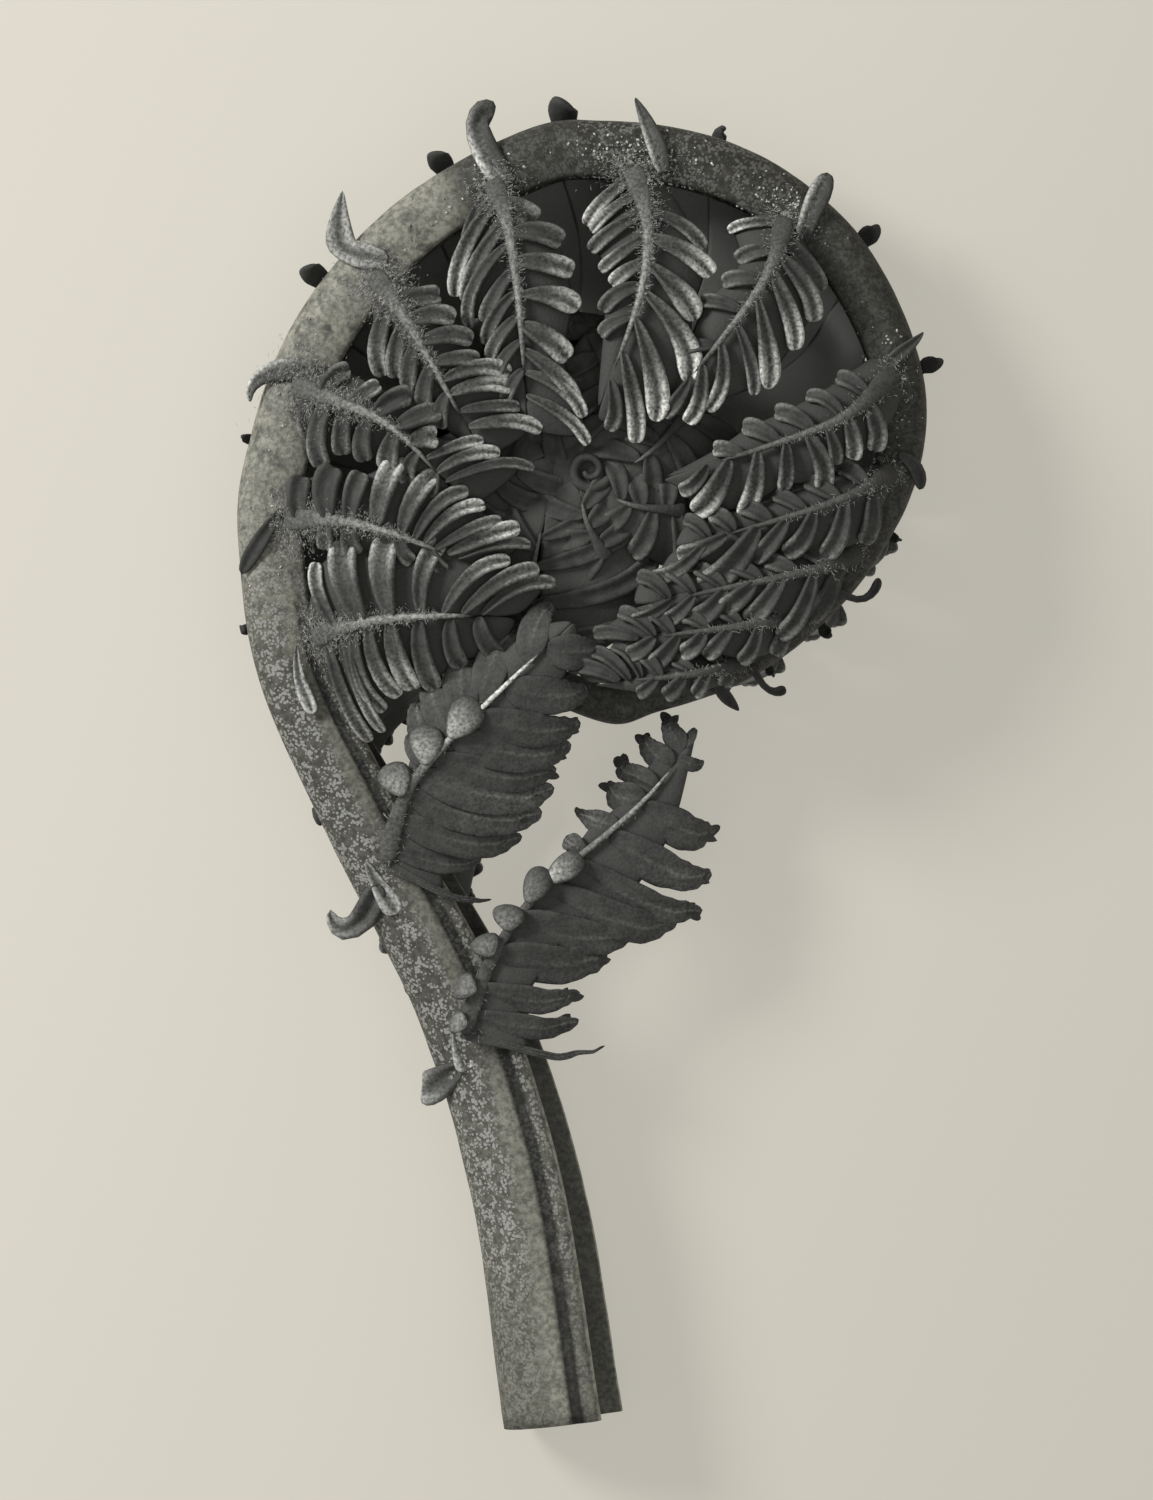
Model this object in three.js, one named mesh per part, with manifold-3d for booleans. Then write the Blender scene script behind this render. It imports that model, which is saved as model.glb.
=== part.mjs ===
// Ostrich fern fiddlehead: a young frond, still coiled, picked and lying on its side.
// A grooved stalk rises and winds into a flat head. Side fronds (pinnae) stand on both faces of it in turn,
// each with a midrib, two rows of leaflets, and a first leaflet that hooks outward round the stalk's back.
// Millimetres. X and Y lie in the table, Z is up, and the part rests on Z = 0.
import * as THREE from 'three';
import { mergeVertices } from 'three/addons/utils/BufferGeometryUtils.js';
import Module from 'manifold-3d';

const wasm = await Module();
wasm.setup();

// ---- driving dimensions ----
const MID = 5.2; // height of the coil's middle plane above the table
const GAP = 0.3; // clearance between neighbouring pieces
const EYE = [0, 16.3]; // centre of the inner turns
const EYE_RADIUS = 13.7; // the stalk's back from the eye, where the inner turns begin
const TURN_SHRINK = 0.8; // how much the inner turns close in each quarter turn
const INNER_QUARTERS = 9; // quarter turns after the outer turn
const INNER_DEPTH = 2.0; // stalk depth where the inner turns begin
const INNER_DEPTH_SHRINK = 0.9; // per quarter turn
const BLADE = 0.72; // height of a blade's edge
const RIB_HALF = 0.35; // half the width of a midrib
const RIB_RISE = 0.45; // a midrib stands this far out of its blade
const RIB_STEPS = 6;
const LAST_TIP = 0.9; // a blade goes on this far past its midrib
const LEAFLET_PITCH = 1.95; // between leaflets along a midrib
const LEAFLET_WIDTH = 1.25;
const LEAFLET_NOTCH = 0.5; // how far in the notches stop, as a share of the leaflets
const LEAFLET_DROP = 0.85; // a leaflet lies this far below its midrib at REACH out
const LOBE_NOTCH = 0.5; // the same for the lobes of a free side frond
const LOBE_DROP = 1.1;
const REACH = 2.6;
const SLIM = 0.86; // share of the room between its neighbours that a leaflet takes up
const BLUNT = 0.55; // a leaflet starts to round off this many widths before its end
const LONGEST_ROUND = 0.62; // but not nearer its root than this share
const FIRST_LEAFLET = 0.15; // share of a midrib that is bare at its base
const RIB_SPAN = 0.82; // share of it that bears leaflets
const STAGGER = 0.45; // the second row of leaflets starts this share of the pitch further out
const LEAN_BASE = 104; // a leaflet's angle from the midrib, in degrees
const LEAN_TIP = 28;
const SHORTEST_LEAFLET = 0.9;
const LEAFLET_STEP = 0.1; // a leaflet's length is a whole number of these
const HOOK_WIDTH = 1.15;
const HOOK_SHARES = [1, 1, 0.9, 0.3]; // of its width, from root to tip
const HOOK_SEAT = 0.08; // a hook clears the stalk by this much more than GAP
const KNOB = 1.15; // the under face's hooks stand out past the stalk's back by this much
const CREST = 4.85; // a pinna's highest point above the middle plane
const PINNA_TIP = 4.3; // its tip's height
const SHOULDER_DIP = 0.5; // its midrib's second point is this far under the crest
const INNER_COUNT = 7; // side fronds on each face of the inner turns
const INNER_PITCH = 0.62; // quarter turns between them
const INNER_CREST = 2.3;
const FINEST = 0.01; // no edge is shorter than this

// The stalk's back, from the cut end up and once round the head: x, y, height of the middle, depth.
const STALK_BACK = [
  [-4.7, -36.9, 2.75, 6.15], [-6.5, -24.0, 3.1, 5.75], [-9.5, -14.0, 3.7, 5.3],
  [-14.4, -4.1, 4.6, 4.6], [-18.3, 4.7, 5.1, 3.9], [-19.4, 11.9, MID, 3.6],
  [-19.1, 16.9, MID, 3.5], [-16.4, 24.5, MID, 3.4], [-11.0, 30.9, MID, 3.3],
  [-3.8, 35.1, MID, 3.25], [1.1, 35.7, MID, 3.2], [7.2, 34.7, MID, 3.15],
  [12.2, 32.0, MID, 3.05], [16.0, 27.8, MID, 2.9], [18.5, 21.5, MID, 2.7],
  [18.0, 15.5, MID, 2.55], [14.6, 9.6, MID, 2.4], [9.4, 5.1, MID, 2.25], [3.9, 3.0, MID, 2.15],
];
const STALK_TWIST = 20; // degrees that the groove turns to face up, on the free stalk
const TWIST_POINTS = 4; // points of the back before the twist has run out

// Half of the stalk's outline, as shares of half its breadth and of its depth: from the back over the
// flank to the groove's rim, with a furrow along the flank, and then the groove's bed.
const STALK_FLANK = [[0.62, 0.08], [0.95, 0.32], [1, 0.52], [0.9, 0.74], [0.62, 1]];
const FURROW = [0.85, 0.62];
const FURROW_AFTER = 3; // points of the flank before the furrow
const GROOVE_BED = [0.18, 0.72];

// Side fronds on the upper face: midrib points from base to tip, tip of the hook, leaflet lengths
// on the side nearer the head's end and on the side nearer the cut end.
const FRONT = [
  {
    rib: [[-15.3, 6.9], [-13.2, 7.7], [-9.3, 8.2], [-5.4, 8.2]],
    hook: [-17.6, 1.6], fore: 3.6, aft: 3.6,
  },
  {
    rib: [[-16.9, 13.5], [-14.0, 13.5], [-10.7, 12.7], [-7.2, 11.3]],
    hook: [-19.5, 10.3], fore: 3.6, aft: 2.6,
  },
  {
    rib: [[-16.5, 21.0], [-13.8, 20.0], [-10.7, 18.5], [-7.7, 15.2]],
    hook: [-19.0, 20.9], fore: 3.3, aft: 3.3,
  },
  {
    rib: [[-12.0, 27.2], [-10.5, 25.1], [-8.7, 22.1], [-6.5, 18.2]],
    hook: [-13.7, 31.6], fore: 3.3, aft: 3.2,
  },
  {
    rib: [[-5.4, 32.4], [-4.5, 29.8], [-3.9, 25.7], [-3.5, 20.0]],
    hook: [-6.2, 36.3], fore: 3.0, aft: 3.0,
  },
  {
    rib: [[2.3, 33.1], [3.2, 29.8], [2.8, 25.7], [0.9, 20.6]],
    hook: [2.7, 36.9], fore: 3.3, aft: 3.0,
  },
  {
    rib: [[10.8, 30.4], [10.1, 27.6], [8.4, 24.8], [4.8, 20.4]],
    hook: [13.1, 32.8], fore: 3.3, aft: 2.8,
  },
  {
    rib: [[17.0, 21.9], [14.5, 19.4], [11.4, 18.0], [5.4, 16.2]],
    hook: [18.9, 23.6], fore: 2.9, aft: 2.6,
  },
  {
    rib: [[16.9, 16.4], [15.2, 15.2], [12.0, 13.9], [6.1, 12.3]],
    hook: [19.0, 15.9], fore: 2.5, aft: 2.3,
  },
  {
    rib: [[15.0, 11.9], [13.1, 10.9], [9.4, 10.1], [3.9, 9.0]],
    hook: [16.2, 9.9], fore: 2.4, aft: 2.0,
  },
  {
    rib: [[11.9, 8.5], [10.0, 7.9], [7.2, 7.5], [2.6, 6.9]],
    hook: [11.3, 4.3], fore: 2.2, aft: 1.8,
  },
  {
    rib: [[8.6, 5.9], [7.2, 5.3], [4.9, 4.9], [1.6, 4.6]],
    hook: [8.0, 2.9], fore: 1.8, aft: 1.8,
  },
];

// Free side fronds low on the stalk, spread wider: midrib points with heights, hook, and each lobe as its
// root's share of the midrib, its tip and its width.
const FREE = [
  {
    name: 'pinna_front_01', hook: [-9.2, -17.2],
    rib: [[-7.0, -15.1, 6.9], [-5.5, -10.7, 7.2], [-2.5, -6.5, 6.8], [2.6, -2.6, 6.2], [5.6, 1.3, 5.6]],
    lobes: [
      [0.03, 1.0, -15.5, 0.9], [0.08, -0.5, -14.0, 1.7], [0.16, -0.4, -12.3, 1.9], [0.25, 0.9, -10.4, 2.4],
      [0.38, 2.6, -9.1, 2.2], [0.49, 5.0, -8.7, 2.2], [0.58, 6.4, -8.0, 2.0], [0.67, 6.6, -6.4, 1.9],
      [0.77, 7.0, -3.8, 2.0], [0.9, 6.7, 0.1, 1.2], [0.52, -1.2, -3.8, 1.3], [0.62, -0.6, -2.3, 1.3],
      [0.75, 1.1, -0.6, 1.9], [0.86, 3.1, 1.5, 1.6], [0.94, 4.7, 2.7, 1.4], [0.04, -7.5, -14.1, 1.5],
      [0.15, -7.0, -12.1, 1.6], [0.26, -5.8, -9.7, 1.5], [0.34, -4.4, -7.9, 1.5], [0.43, -2.8, -5.8, 1.6],
    ],
  },
  {
    name: 'pinna_front_02', hook: [-14.2, -7.3],
    rib: [[-11.3, -5.7, 7.4], [-10.2, -1.6, 8.6], [-8.2, 0.9, 9.2], [-5.5, 3.6, 9.6], [-1.2, 7.6, 9.6]],
    lobes: [
      [0.03, -5.3, -7.4, 0.9], [0.07, -5.8, -5.2, 1.5], [0.16, -3.6, -3.9, 1.8], [0.26, -2.5, -2.5, 1.8],
      [0.35, -1.7, -1.2, 1.7], [0.45, -1.7, -0.1, 1.7], [0.56, -0.8, 1.1, 1.7], [0.68, -0.2, 2.5, 1.6],
      [0.8, 0.0, 4.3, 1.5], [0.24, -10.9, -0.4, 1.7], [0.4, -9.2, 1.8, 1.7], [0.53, -6.9, 3.2, 1.6],
    ],
  },
];

// Two side fronds low on the under face, lying close behind the stalk: midrib points with heights, the
// hook, and the leaflet lengths.
const LOW_BACK = [
  {
    name: 'pinna_back_01', hook: [-11.9, -12.4], fore: 2.4, aft: 2.4,
    rib: [[-9.2, -11.4, 1.7], [-9.3, -7.4, 1.2], [-8.0, -3.6, 1.2], [-5.4, -0.9, 1.5]],
  },
  {
    name: 'pinna_back_02', hook: [-15.9, -3.0], fore: 2.6, aft: 2.6,
    rib: [[-13.3, -0.9, 2.1], [-12.2, 1.7, 1.3], [-9.8, 3.9, 1.2], [-6.2, 5.3, 1.5]],
  },
];

const FIBRE = new THREE.MeshStandardMaterial({ color: 0x6b6b60, roughness: 0.75, metalness: 0 });
const LEAF = new THREE.MeshStandardMaterial({ color: 0x45463f, roughness: 0.8, metalness: 0 });

// ---- solids ----
const UP = new THREE.Vector3(0, 0, 1);

// A prism of the outline, drawn from t = 0 to t = 1 along any course: place gives a point for (t, x, y).
function drawn(outline, steps, place) {
  const shape = new THREE.Shape(outline.map(([x, y]) => new THREE.Vector2(x, y)));
  const prism = new THREE.ExtrudeGeometry(shape, { depth: 1, steps, bevelEnabled: false });
  const corner = prism.getAttribute('position');
  for (let i = 0; i < corner.count; i++) {
    const p = place(corner.getZ(i), corner.getX(i), corner.getY(i));
    corner.setXYZ(i, p.x, p.y, p.z);
  }
  return solid(prism);
}

function solid(geometry) {
  geometry.deleteAttribute('normal');
  geometry.deleteAttribute('uv');
  const merged = mergeVertices(geometry, 1e-4);
  return new wasm.Manifold(new wasm.Mesh({
    numProp: 3,
    vertProperties: merged.getAttribute('position').array,
    triVerts: new Uint32Array(merged.index.array),
  }));
}

function node(name, body, material) {
  const { numProp, vertProperties, triVerts } = body.getMesh();
  const geometry = new THREE.BufferGeometry();
  geometry.setAttribute('position', new THREE.BufferAttribute(vertProperties, numProp));
  geometry.setIndex(new THREE.BufferAttribute(triVerts, 1));
  geometry.computeVertexNormals();
  const mesh = new THREE.Mesh(geometry, material);
  mesh.name = name;
  return mesh;
}

// The largest body of a solid, cleared of edges too short to matter.
function largest(body) {
  const bodies = body.simplify(FINEST).decompose();
  return bodies.sort((a, b) => b.volume() - a.volume())[0];
}

// ---- the stalk and its coil ----
function spiral() {
  const points = [];
  for (let i = 0; i <= 2 * INNER_QUARTERS; i++) {
    const quarter = i / 2;
    const radius = EYE_RADIUS * TURN_SHRINK ** quarter;
    const angle = -Math.PI / 2 - (quarter * Math.PI) / 2;
    const x = EYE[0] + radius * Math.cos(angle);
    const y = EYE[1] + radius * Math.sin(angle);
    points.push([x, y, MID, INNER_DEPTH * INNER_DEPTH_SHRINK ** quarter]);
  }
  return points;
}

const backPoints = [...STALK_BACK, ...spiral()];
const SPANS = backPoints.length - 1;
const OUTER_SPANS = STALK_BACK.length;
const smooth = (list) => new THREE.CatmullRomCurve3(list, false, 'catmullrom', 0.5);
const backCurve = smooth(backPoints.map(([x, y, z]) => new THREE.Vector3(x, y, z)));
const gauge = smooth(backPoints.map(([, , , depth]) => new THREE.Vector3(depth, 0, 0)));
const breadthOf = (depth) => 0.75 * depth + 0.9;

// The stalk's frame at t: its back, its direction, the way in towards the groove, and its size.
function stalkAt(t) {
  const back = backCurve.getPoint(t);
  const along = backCurve.getTangent(t);
  const inward = new THREE.Vector3(along.y, -along.x, 0).normalize();
  const up = inward.clone().cross(along);
  const depth = gauge.getPoint(t).x;
  const untwist = Math.min(1, (t * SPANS) / TWIST_POINTS);
  const twist = THREE.MathUtils.degToRad(STALK_TWIST * (1 - untwist * untwist));
  return { back, along, inward, up, depth, breadth: breadthOf(depth), twist };
}

// A point of the stalk's section: u across its breadth, v from the back to the groove, both in shares,
// and margin the distance by which the whole section grows.
function onStalk(t, u, v, margin = 0) {
  const s = stalkAt(t);
  const across = u * (s.breadth / 2 + margin);
  const inside = (v - 0.5) * (s.depth + 2 * margin);
  const turn = Math.cos(s.twist);
  const lean = Math.sin(s.twist);
  return s.back.clone()
    .addScaledVector(s.inward, s.depth / 2 + inside * turn - across * lean)
    .addScaledVector(s.up, across * turn + inside * lean);
}

const wholeOutline = (half) => [[0, 0], ...half, ...[...half].reverse().map(([u, v]) => [-u, v])];
const stalkHalf = [
  ...STALK_FLANK.slice(0, FURROW_AFTER), FURROW, ...STALK_FLANK.slice(FURROW_AFTER), GROOVE_BED,
];
const stalkSteps = SPANS * 2;
const floorBlock = solid(new THREE.BoxGeometry(120, 120, 10).translate(0, 0, -5));
const stalkBody = drawn(wholeOutline(stalkHalf), stalkSteps, (t, u, v) => onStalk(t, u, v));
const stalkRoom = drawn(wholeOutline(STALK_FLANK), stalkSteps, (t, u, v) => onStalk(t, u, v, GAP));

// The place on the outer turn nearest to a point of the table's plane.
function nearestOnStalk(x, y) {
  let best = { gap: Infinity, t: 0 };
  const looks = 600;
  for (let i = 0; i <= looks; i++) {
    const t = ((i / looks) * OUTER_SPANS) / SPANS;
    const p = backCurve.getPoint(t);
    const gap = Math.hypot(p.x - x, p.y - y);
    if (gap < best.gap) best = { gap, t };
  }
  return best.t;
}

// ---- side fronds ----
const SLAB = [[-1, -1], [1, -1], [1, 1], [-1, 1]];

// A flat strap along a curve, its width following the given shares.
function strap(curve, width, shares, steps) {
  const profile = smooth(shares.map((share) => new THREE.Vector3(share, 0, 0)));
  return drawn(SLAB, steps, (t, x, y) => {
    const along = curve.getTangent(t);
    const side = UP.clone().cross(along).normalize();
    return curve.getPoint(t)
      .addScaledVector(side, (x * width * profile.getPoint(t).x) / 2)
      .addScaledVector(along.cross(side), (y * BLADE) / 2);
  });
}

// The hook: from the midrib's base over the stalk's flank and round its back.
function hook(base, tip, face) {
  const t = nearestOnStalk(base.x, base.y);
  const clear = GAP + BLADE / 2 + HOOK_SEAT;
  const over = onStalk(t, 0.93 * face, 0.34, clear);
  const edge = onStalk(t, 0.6 * face, -0.02, clear);
  const end = new THREE.Vector3(tip[0], tip[1], edge.z - face * BLADE);
  return strap(smooth([base, over, edge, end]), HOOK_WIDTH, HOOK_SHARES, 5);
}

const flat = (p) => new THREE.Vector2(p.x, p.y);
const leftOf = (way) => new THREE.Vector2(-way.y, way.x);

// A lobe's measures in plan: where it leaves the midrib, which way it points, and how far it reaches.
function lobe(curve, share, tip, width, notch) {
  const root = flat(curve.getPoint(share));
  const way = tip.clone().sub(root);
  const reach = way.length();
  way.divideScalar(reach);
  const hand = Math.sign(flat(curve.getTangent(share)).cross(way));
  const inner = root.clone().addScaledVector(way, Math.max(RIB_HALF + 0.05, notch * reach));
  return { share, root, way, reach, width, hand, inner };
}

// The two halves of a blade cut into lobes, each bounded by the midrib and by the lobes of its own side.
// Each notch goes in to the given share of its lobes, and each lobe ends in a blunt round tip.
function lobedHalves(curve, lobes) {
  const way = flat(curve.getTangent(1));
  const summit = flat(curve.getPoint(1)).addScaledVector(way, LAST_TIP);
  const across = leftOf(flat(curve.getTangent(0)));
  const spine = curve.getPoints(RIB_STEPS).map(flat);
  return [-1, 1].map((side) => {
    const neck = spine[RIB_STEPS].clone().addScaledVector(leftOf(way), side * RIB_HALF);
    const own = lobes.filter(({ hand }) => hand === side).sort((a, b) => a.share - b.share);
    const out = (item, share) => item.root.clone().addScaledVector(item.way, share * item.reach);
    const edge = [spine[0].clone().addScaledVector(across, side * RIB_HALF)];
    own.forEach((item, i) => {
      const aside = (point) => Math.abs(point.clone().sub(item.root).cross(item.way));
      const room = [own[i - 1], own[i + 1]].filter(Boolean)
        .flatMap((other) => [aside(out(other, LONGEST_ROUND)), aside(out(other, 1))]);
      const width = Math.min(item.width, SLIM * Math.min(...room, 2 * aside(neck)));
      const shoulder = Math.max(LONGEST_ROUND * item.reach, item.reach - BLUNT * width);
      const corner = (reach, offset) => (
        item.root.clone().addScaledVector(item.way, reach)
          .addScaledVector(leftOf(item.way), -side * offset * width)
      );
      if (i) edge.push(own[i - 1].inner.clone().add(item.inner).divideScalar(2));
      edge.push(corner(shoulder, -0.5), corner(item.reach, -0.2));
      edge.push(corner(item.reach, 0.2), corner(shoulder, 0.5));
    });
    edge.push(neck);
    edge.push(summit.clone().addScaledVector(leftOf(way), side * 0.2));
    const loop = [...edge, summit, ...[...spine].reverse()];
    return (side < 0 ? loop : loop.reverse()).map(({ x, y }) => [x, y]);
  });
}

// A thin blade of the two halves, arched down on both sides of a raised midrib.
function blade(curve, halves, side, drop) {
  const course = curve.getPoints(60);
  const face = side > 0 ? 1 : 0;
  const place = (t, x, y) => {
    const range = (p) => Math.hypot(p.x - x, p.y - y);
    const near = course.reduce((a, b) => (range(a) < range(b) ? a : b));
    const away = range(near);
    const rise = t === face ? Math.max(0, RIB_RISE * (1 - away / RIB_HALF)) : 0;
    const arch = (2 * drop * away ** 2) / (away ** 2 + REACH ** 2);
    return new THREE.Vector3(x, y, near.z + side * (rise - arch) + (t - 0.5) * BLADE);
  };
  return wasm.Manifold.union(halves.map((half) => drawn(half, 1, place)));
}

const ribPoints = (rib, side, heights) => rib.map(([x, y], i) => (
  new THREE.Vector3(x, y, MID + side * heights[i])
));

// Distance in plan from a point to the points of a course.
const planGap = (p, course) => Math.min(...course.map((q) => Math.hypot(p.x - q.x, p.y - q.y)));

// Leaflets of a closed pinna: they lean from square at its base to near its line at the tip, and each
// stops where a neighbour's ground begins.
function closedLobes(pinna, rivals) {
  const length = pinna.curve.getLength();
  const count = Math.max(3, Math.round(length / LEAFLET_PITCH));
  const made = [];
  for (const [hand, reach] of [[1, pinna.fore], [-1, pinna.aft]]) {
    for (let i = 0; i < count; i++) {
      const share = FIRST_LEAFLET + (RIB_SPAN * (i + (hand > 0 ? 0 : STAGGER))) / count;
      const centre = flat(pinna.curve.getPoint(share));
      const lean = THREE.MathUtils.degToRad(LEAN_BASE + (LEAN_TIP - LEAN_BASE) * share);
      const way = flat(pinna.curve.getTangent(share)).normalize();
      way.rotateAround(new THREE.Vector2(), hand * lean);
      const full = reach * (0.8 + 0.35 * Math.sin(Math.PI * share));
      let grown = RIB_HALF;
      while (grown < full) {
        const tip = centre.clone().addScaledVector(way, grown + LEAFLET_STEP);
        if (planGap(tip, rivals) < planGap(tip, pinna.course) + GAP) break;
        grown += LEAFLET_STEP;
      }
      if (grown < SHORTEST_LEAFLET) continue;
      made.push(lobe(pinna.curve, share, centre.addScaledVector(way, grown), pinna.width, LEAFLET_NOTCH));
    }
  }
  return made;
}

function closedPinna(pinna, all) {
  const rivals = all.filter((other) => other !== pinna).flatMap((other) => other.course);
  const halves = lobedHalves(pinna.curve, closedLobes(pinna, rivals));
  const parts = [blade(pinna.curve, halves, pinna.side, LEAFLET_DROP)];
  if (pinna.hook) parts.push(hook(pinna.curve.getPoint(0), pinna.hook, pinna.side));
  return largest(wasm.Manifold.union(parts).subtract(stalkRoom).subtract(floorBlock));
}

function freePinna(pinna) {
  const curve = smooth(pinna.rib.map((point) => new THREE.Vector3(...point)));
  const lobes = pinna.lobes.map(([share, x, y, width]) => (
    lobe(curve, share, new THREE.Vector2(x, y), width, LOBE_NOTCH)
  ));
  const leaf = blade(curve, lobedHalves(curve, lobes), 1, LOBE_DROP);
  return largest(leaf.add(hook(curve.getPoint(0), pinna.hook, 1)).subtract(stalkRoom));
}

// ---- the head's side fronds, face by face ----
const withCourse = (pinna) => {
  const curve = smooth(pinna.points);
  return { ...pinna, curve, course: curve.getPoints(30) };
};

// Between two neighbours of the upper face stands one of the lower face: alternate, as ferns grow.
function between(a, b) {
  const rib = a.rib.map(([x, y], i) => [(x + b.rib[i][0]) / 2, (y + b.rib[i][1]) / 2]);
  const t = nearestOnStalk((a.hook[0] + b.hook[0]) / 2, (a.hook[1] + b.hook[1]) / 2);
  const knob = onStalk(t, 0, 0).addScaledVector(stalkAt(t).inward, -KNOB);
  return { rib, hook: [knob.x, knob.y], fore: (a.fore + b.fore) / 2, aft: (a.aft + b.aft) / 2 };
}

// A midrib starts on the stalk's flank.
const baseHeight = (rib) => stalkAt(nearestOnStalk(...rib[0])).breadth / 2 + GAP + BLADE * 0.7;

function facePinnae(list, side) {
  return list.map((pinna) => withCourse({
    ...pinna,
    side,
    width: LEAFLET_WIDTH,
    points: ribPoints(pinna.rib, side, [baseHeight(pinna.rib), CREST - SHOULDER_DIP, CREST, PINNA_TIP]),
  }));
}

// Small side fronds of the inner turns, leaning in to the eye.
function innerPinnae(side, first) {
  return Array.from({ length: INNER_COUNT }, (_, i) => {
    const quarter = first + INNER_PITCH * i;
    const radius = EYE_RADIUS * TURN_SHRINK ** quarter;
    const angle = -Math.PI / 2 - (quarter * Math.PI) / 2;
    const point = (share, swing, height) => new THREE.Vector3(
      EYE[0] + radius * share * Math.cos(angle - swing),
      EYE[1] + radius * share * Math.sin(angle - swing),
      MID + side * height,
    );
    const points = [
      point(0.88, 0, 0.75 * INNER_CREST), point(0.66, 0.12, 0.95 * INNER_CREST),
      point(0.42, 0.3, INNER_CREST), point(0.22, 0.6, INNER_CREST),
    ];
    return withCourse({ side, width: LEAFLET_WIDTH, fore: 3.2, aft: 3.0, points });
  });
}

const front = facePinnae(FRONT, 1);
const back = facePinnae(FRONT.slice(1).map((pinna, i) => between(FRONT[i], pinna)), -1);
const lowBack = LOW_BACK.map((pinna) => withCourse({
  ...pinna, side: -1, width: LEAFLET_WIDTH, points: pinna.rib.map((p) => new THREE.Vector3(...p)),
}));

const fern = new THREE.Group();
const add = (name, body, material) => fern.add(node(name, body, material));
const numbered = (stem, i) => `${stem}_${String(i).padStart(2, '0')}`;
const grow = (stem, list, first) => list.forEach((pinna, i) => (
  add(numbered(stem, first + i), closedPinna(pinna, list), LEAF)
));

add('stalk', largest(stalkBody.subtract(floorBlock)), FIBRE);
FREE.forEach((pinna) => add(pinna.name, freePinna(pinna), LEAF));
grow('pinna_front', front, 3);
lowBack.forEach((pinna) => add(pinna.name, closedPinna(pinna, [...lowBack, ...back]), LEAF));
grow('pinna_back', back, 3);
grow('pinna_inner_front', innerPinnae(1, 0.15), 1);
grow('pinna_inner_back', innerPinnae(-1, 0.45), 1);

export default fern;
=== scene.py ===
import math
import random

import bmesh
import bpy
from mathutils import Matrix, Vector, noise


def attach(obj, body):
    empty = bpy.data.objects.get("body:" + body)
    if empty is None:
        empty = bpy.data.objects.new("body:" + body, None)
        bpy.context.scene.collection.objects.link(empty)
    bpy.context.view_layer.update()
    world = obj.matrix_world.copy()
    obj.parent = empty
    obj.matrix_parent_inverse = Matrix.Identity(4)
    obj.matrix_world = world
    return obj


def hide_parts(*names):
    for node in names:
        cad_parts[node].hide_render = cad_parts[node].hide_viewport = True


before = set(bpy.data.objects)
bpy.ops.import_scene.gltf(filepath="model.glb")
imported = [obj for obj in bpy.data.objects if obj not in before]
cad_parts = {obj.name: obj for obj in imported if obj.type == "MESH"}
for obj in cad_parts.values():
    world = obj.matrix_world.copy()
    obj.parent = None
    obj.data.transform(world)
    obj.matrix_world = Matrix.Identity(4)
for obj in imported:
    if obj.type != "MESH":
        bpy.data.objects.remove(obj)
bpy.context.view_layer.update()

# ---- The stalk and its coil ----
# One fleshy stem, round-backed and grooved along its inner side, that grows up and winds into the head.
# Its skin is smooth with a waxy bloom on the older outer turn, its lightness there partly painted light,
# and freckled with small pale scales below. The furrow and the groove are darkened as painted shade, and
# the young turns partly so.
MM = 0.001
MID = 5.2  # height of the coil's middle plane over the table, in millimetres as all sizes here
EYE = Vector((0, 16.3))  # the coil's middle
EYE_RADIUS = 13.7  # where the inner turns start, shrinking with each quarter turn as their depth does
TURN_SHRINK = 0.8
INNER_HALVES = 18
INNER_DEPTH = 2.0
INNER_DEPTH_SHRINK = 0.9
STALK_TWIST = math.radians(20)  # turned at the cut end, and straight from the fifth point on
TWIST_POINTS = 4
BREADTH_GAIN, LEAST_BREADTH = 0.75, 0.9
STALK_BACK = [  # x, y, height of the middle, depth
    (-4.7, -36.9, 2.75, 6.15), (-6.5, -24.0, 3.1, 5.75), (-9.5, -14.0, 3.7, 5.3),
    (-14.4, -4.1, 4.6, 4.6), (-18.3, 4.7, 5.1, 3.9), (-19.4, 11.9, MID, 3.6),
    (-19.1, 16.9, MID, 3.5), (-16.4, 24.5, MID, 3.4), (-11.0, 30.9, MID, 3.3),
    (-3.8, 35.1, MID, 3.25), (1.1, 35.7, MID, 3.2), (7.2, 34.7, MID, 3.15),
    (12.2, 32.0, MID, 3.05), (16.0, 27.8, MID, 2.9), (18.5, 21.5, MID, 2.7),
    (18.0, 15.5, MID, 2.55), (14.6, 9.6, MID, 2.4), (9.4, 5.1, MID, 2.25), (3.9, 3.0, MID, 2.15),
]
# Half of the stem's outline, in shares of half its breadth and of its depth: the back, the flank with
# its furrow, the rim, and the groove's wall and bed.
HALF_SECTION = [
    (0, 0), (0.36, 0.015), (0.64, 0.085), (0.85, 0.2), (0.96, 0.34), (1, 0.47), (0.995, 0.6),
    (0.965, 0.7), (0.905, 0.77), (0.855, 0.81), (0.865, 0.855), (0.85, 0.91), (0.79, 0.97), (0.7, 1),
    (0.62, 1.005), (0.555, 0.985), (0.49, 0.9), (0.36, 0.79), (0.18, 0.725), (0, 0.71),
]
COIL_SECTION = HALF_SECTION[:7] + [  # round-flanked, with no furrow
    (0.985, 0.7), (0.972, 0.77), (0.96, 0.81), (0.945, 0.855), (0.92, 0.91), (0.87, 0.97), (0.76, 1),
] + HALF_SECTION[14:]
FURROW_ENDS = (0.08, 0.125)  # how far along the stalk's course the furrow fades out
STALK_STEPS, END_STEPS = 560, 6  # in all, and where the innermost end rounds off
SKIN_RIPPLE = 0.035
RIPPLES = ((0.35, 1.0), (1.3, 0.5))  # how close together the ripples are, and their share
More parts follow.
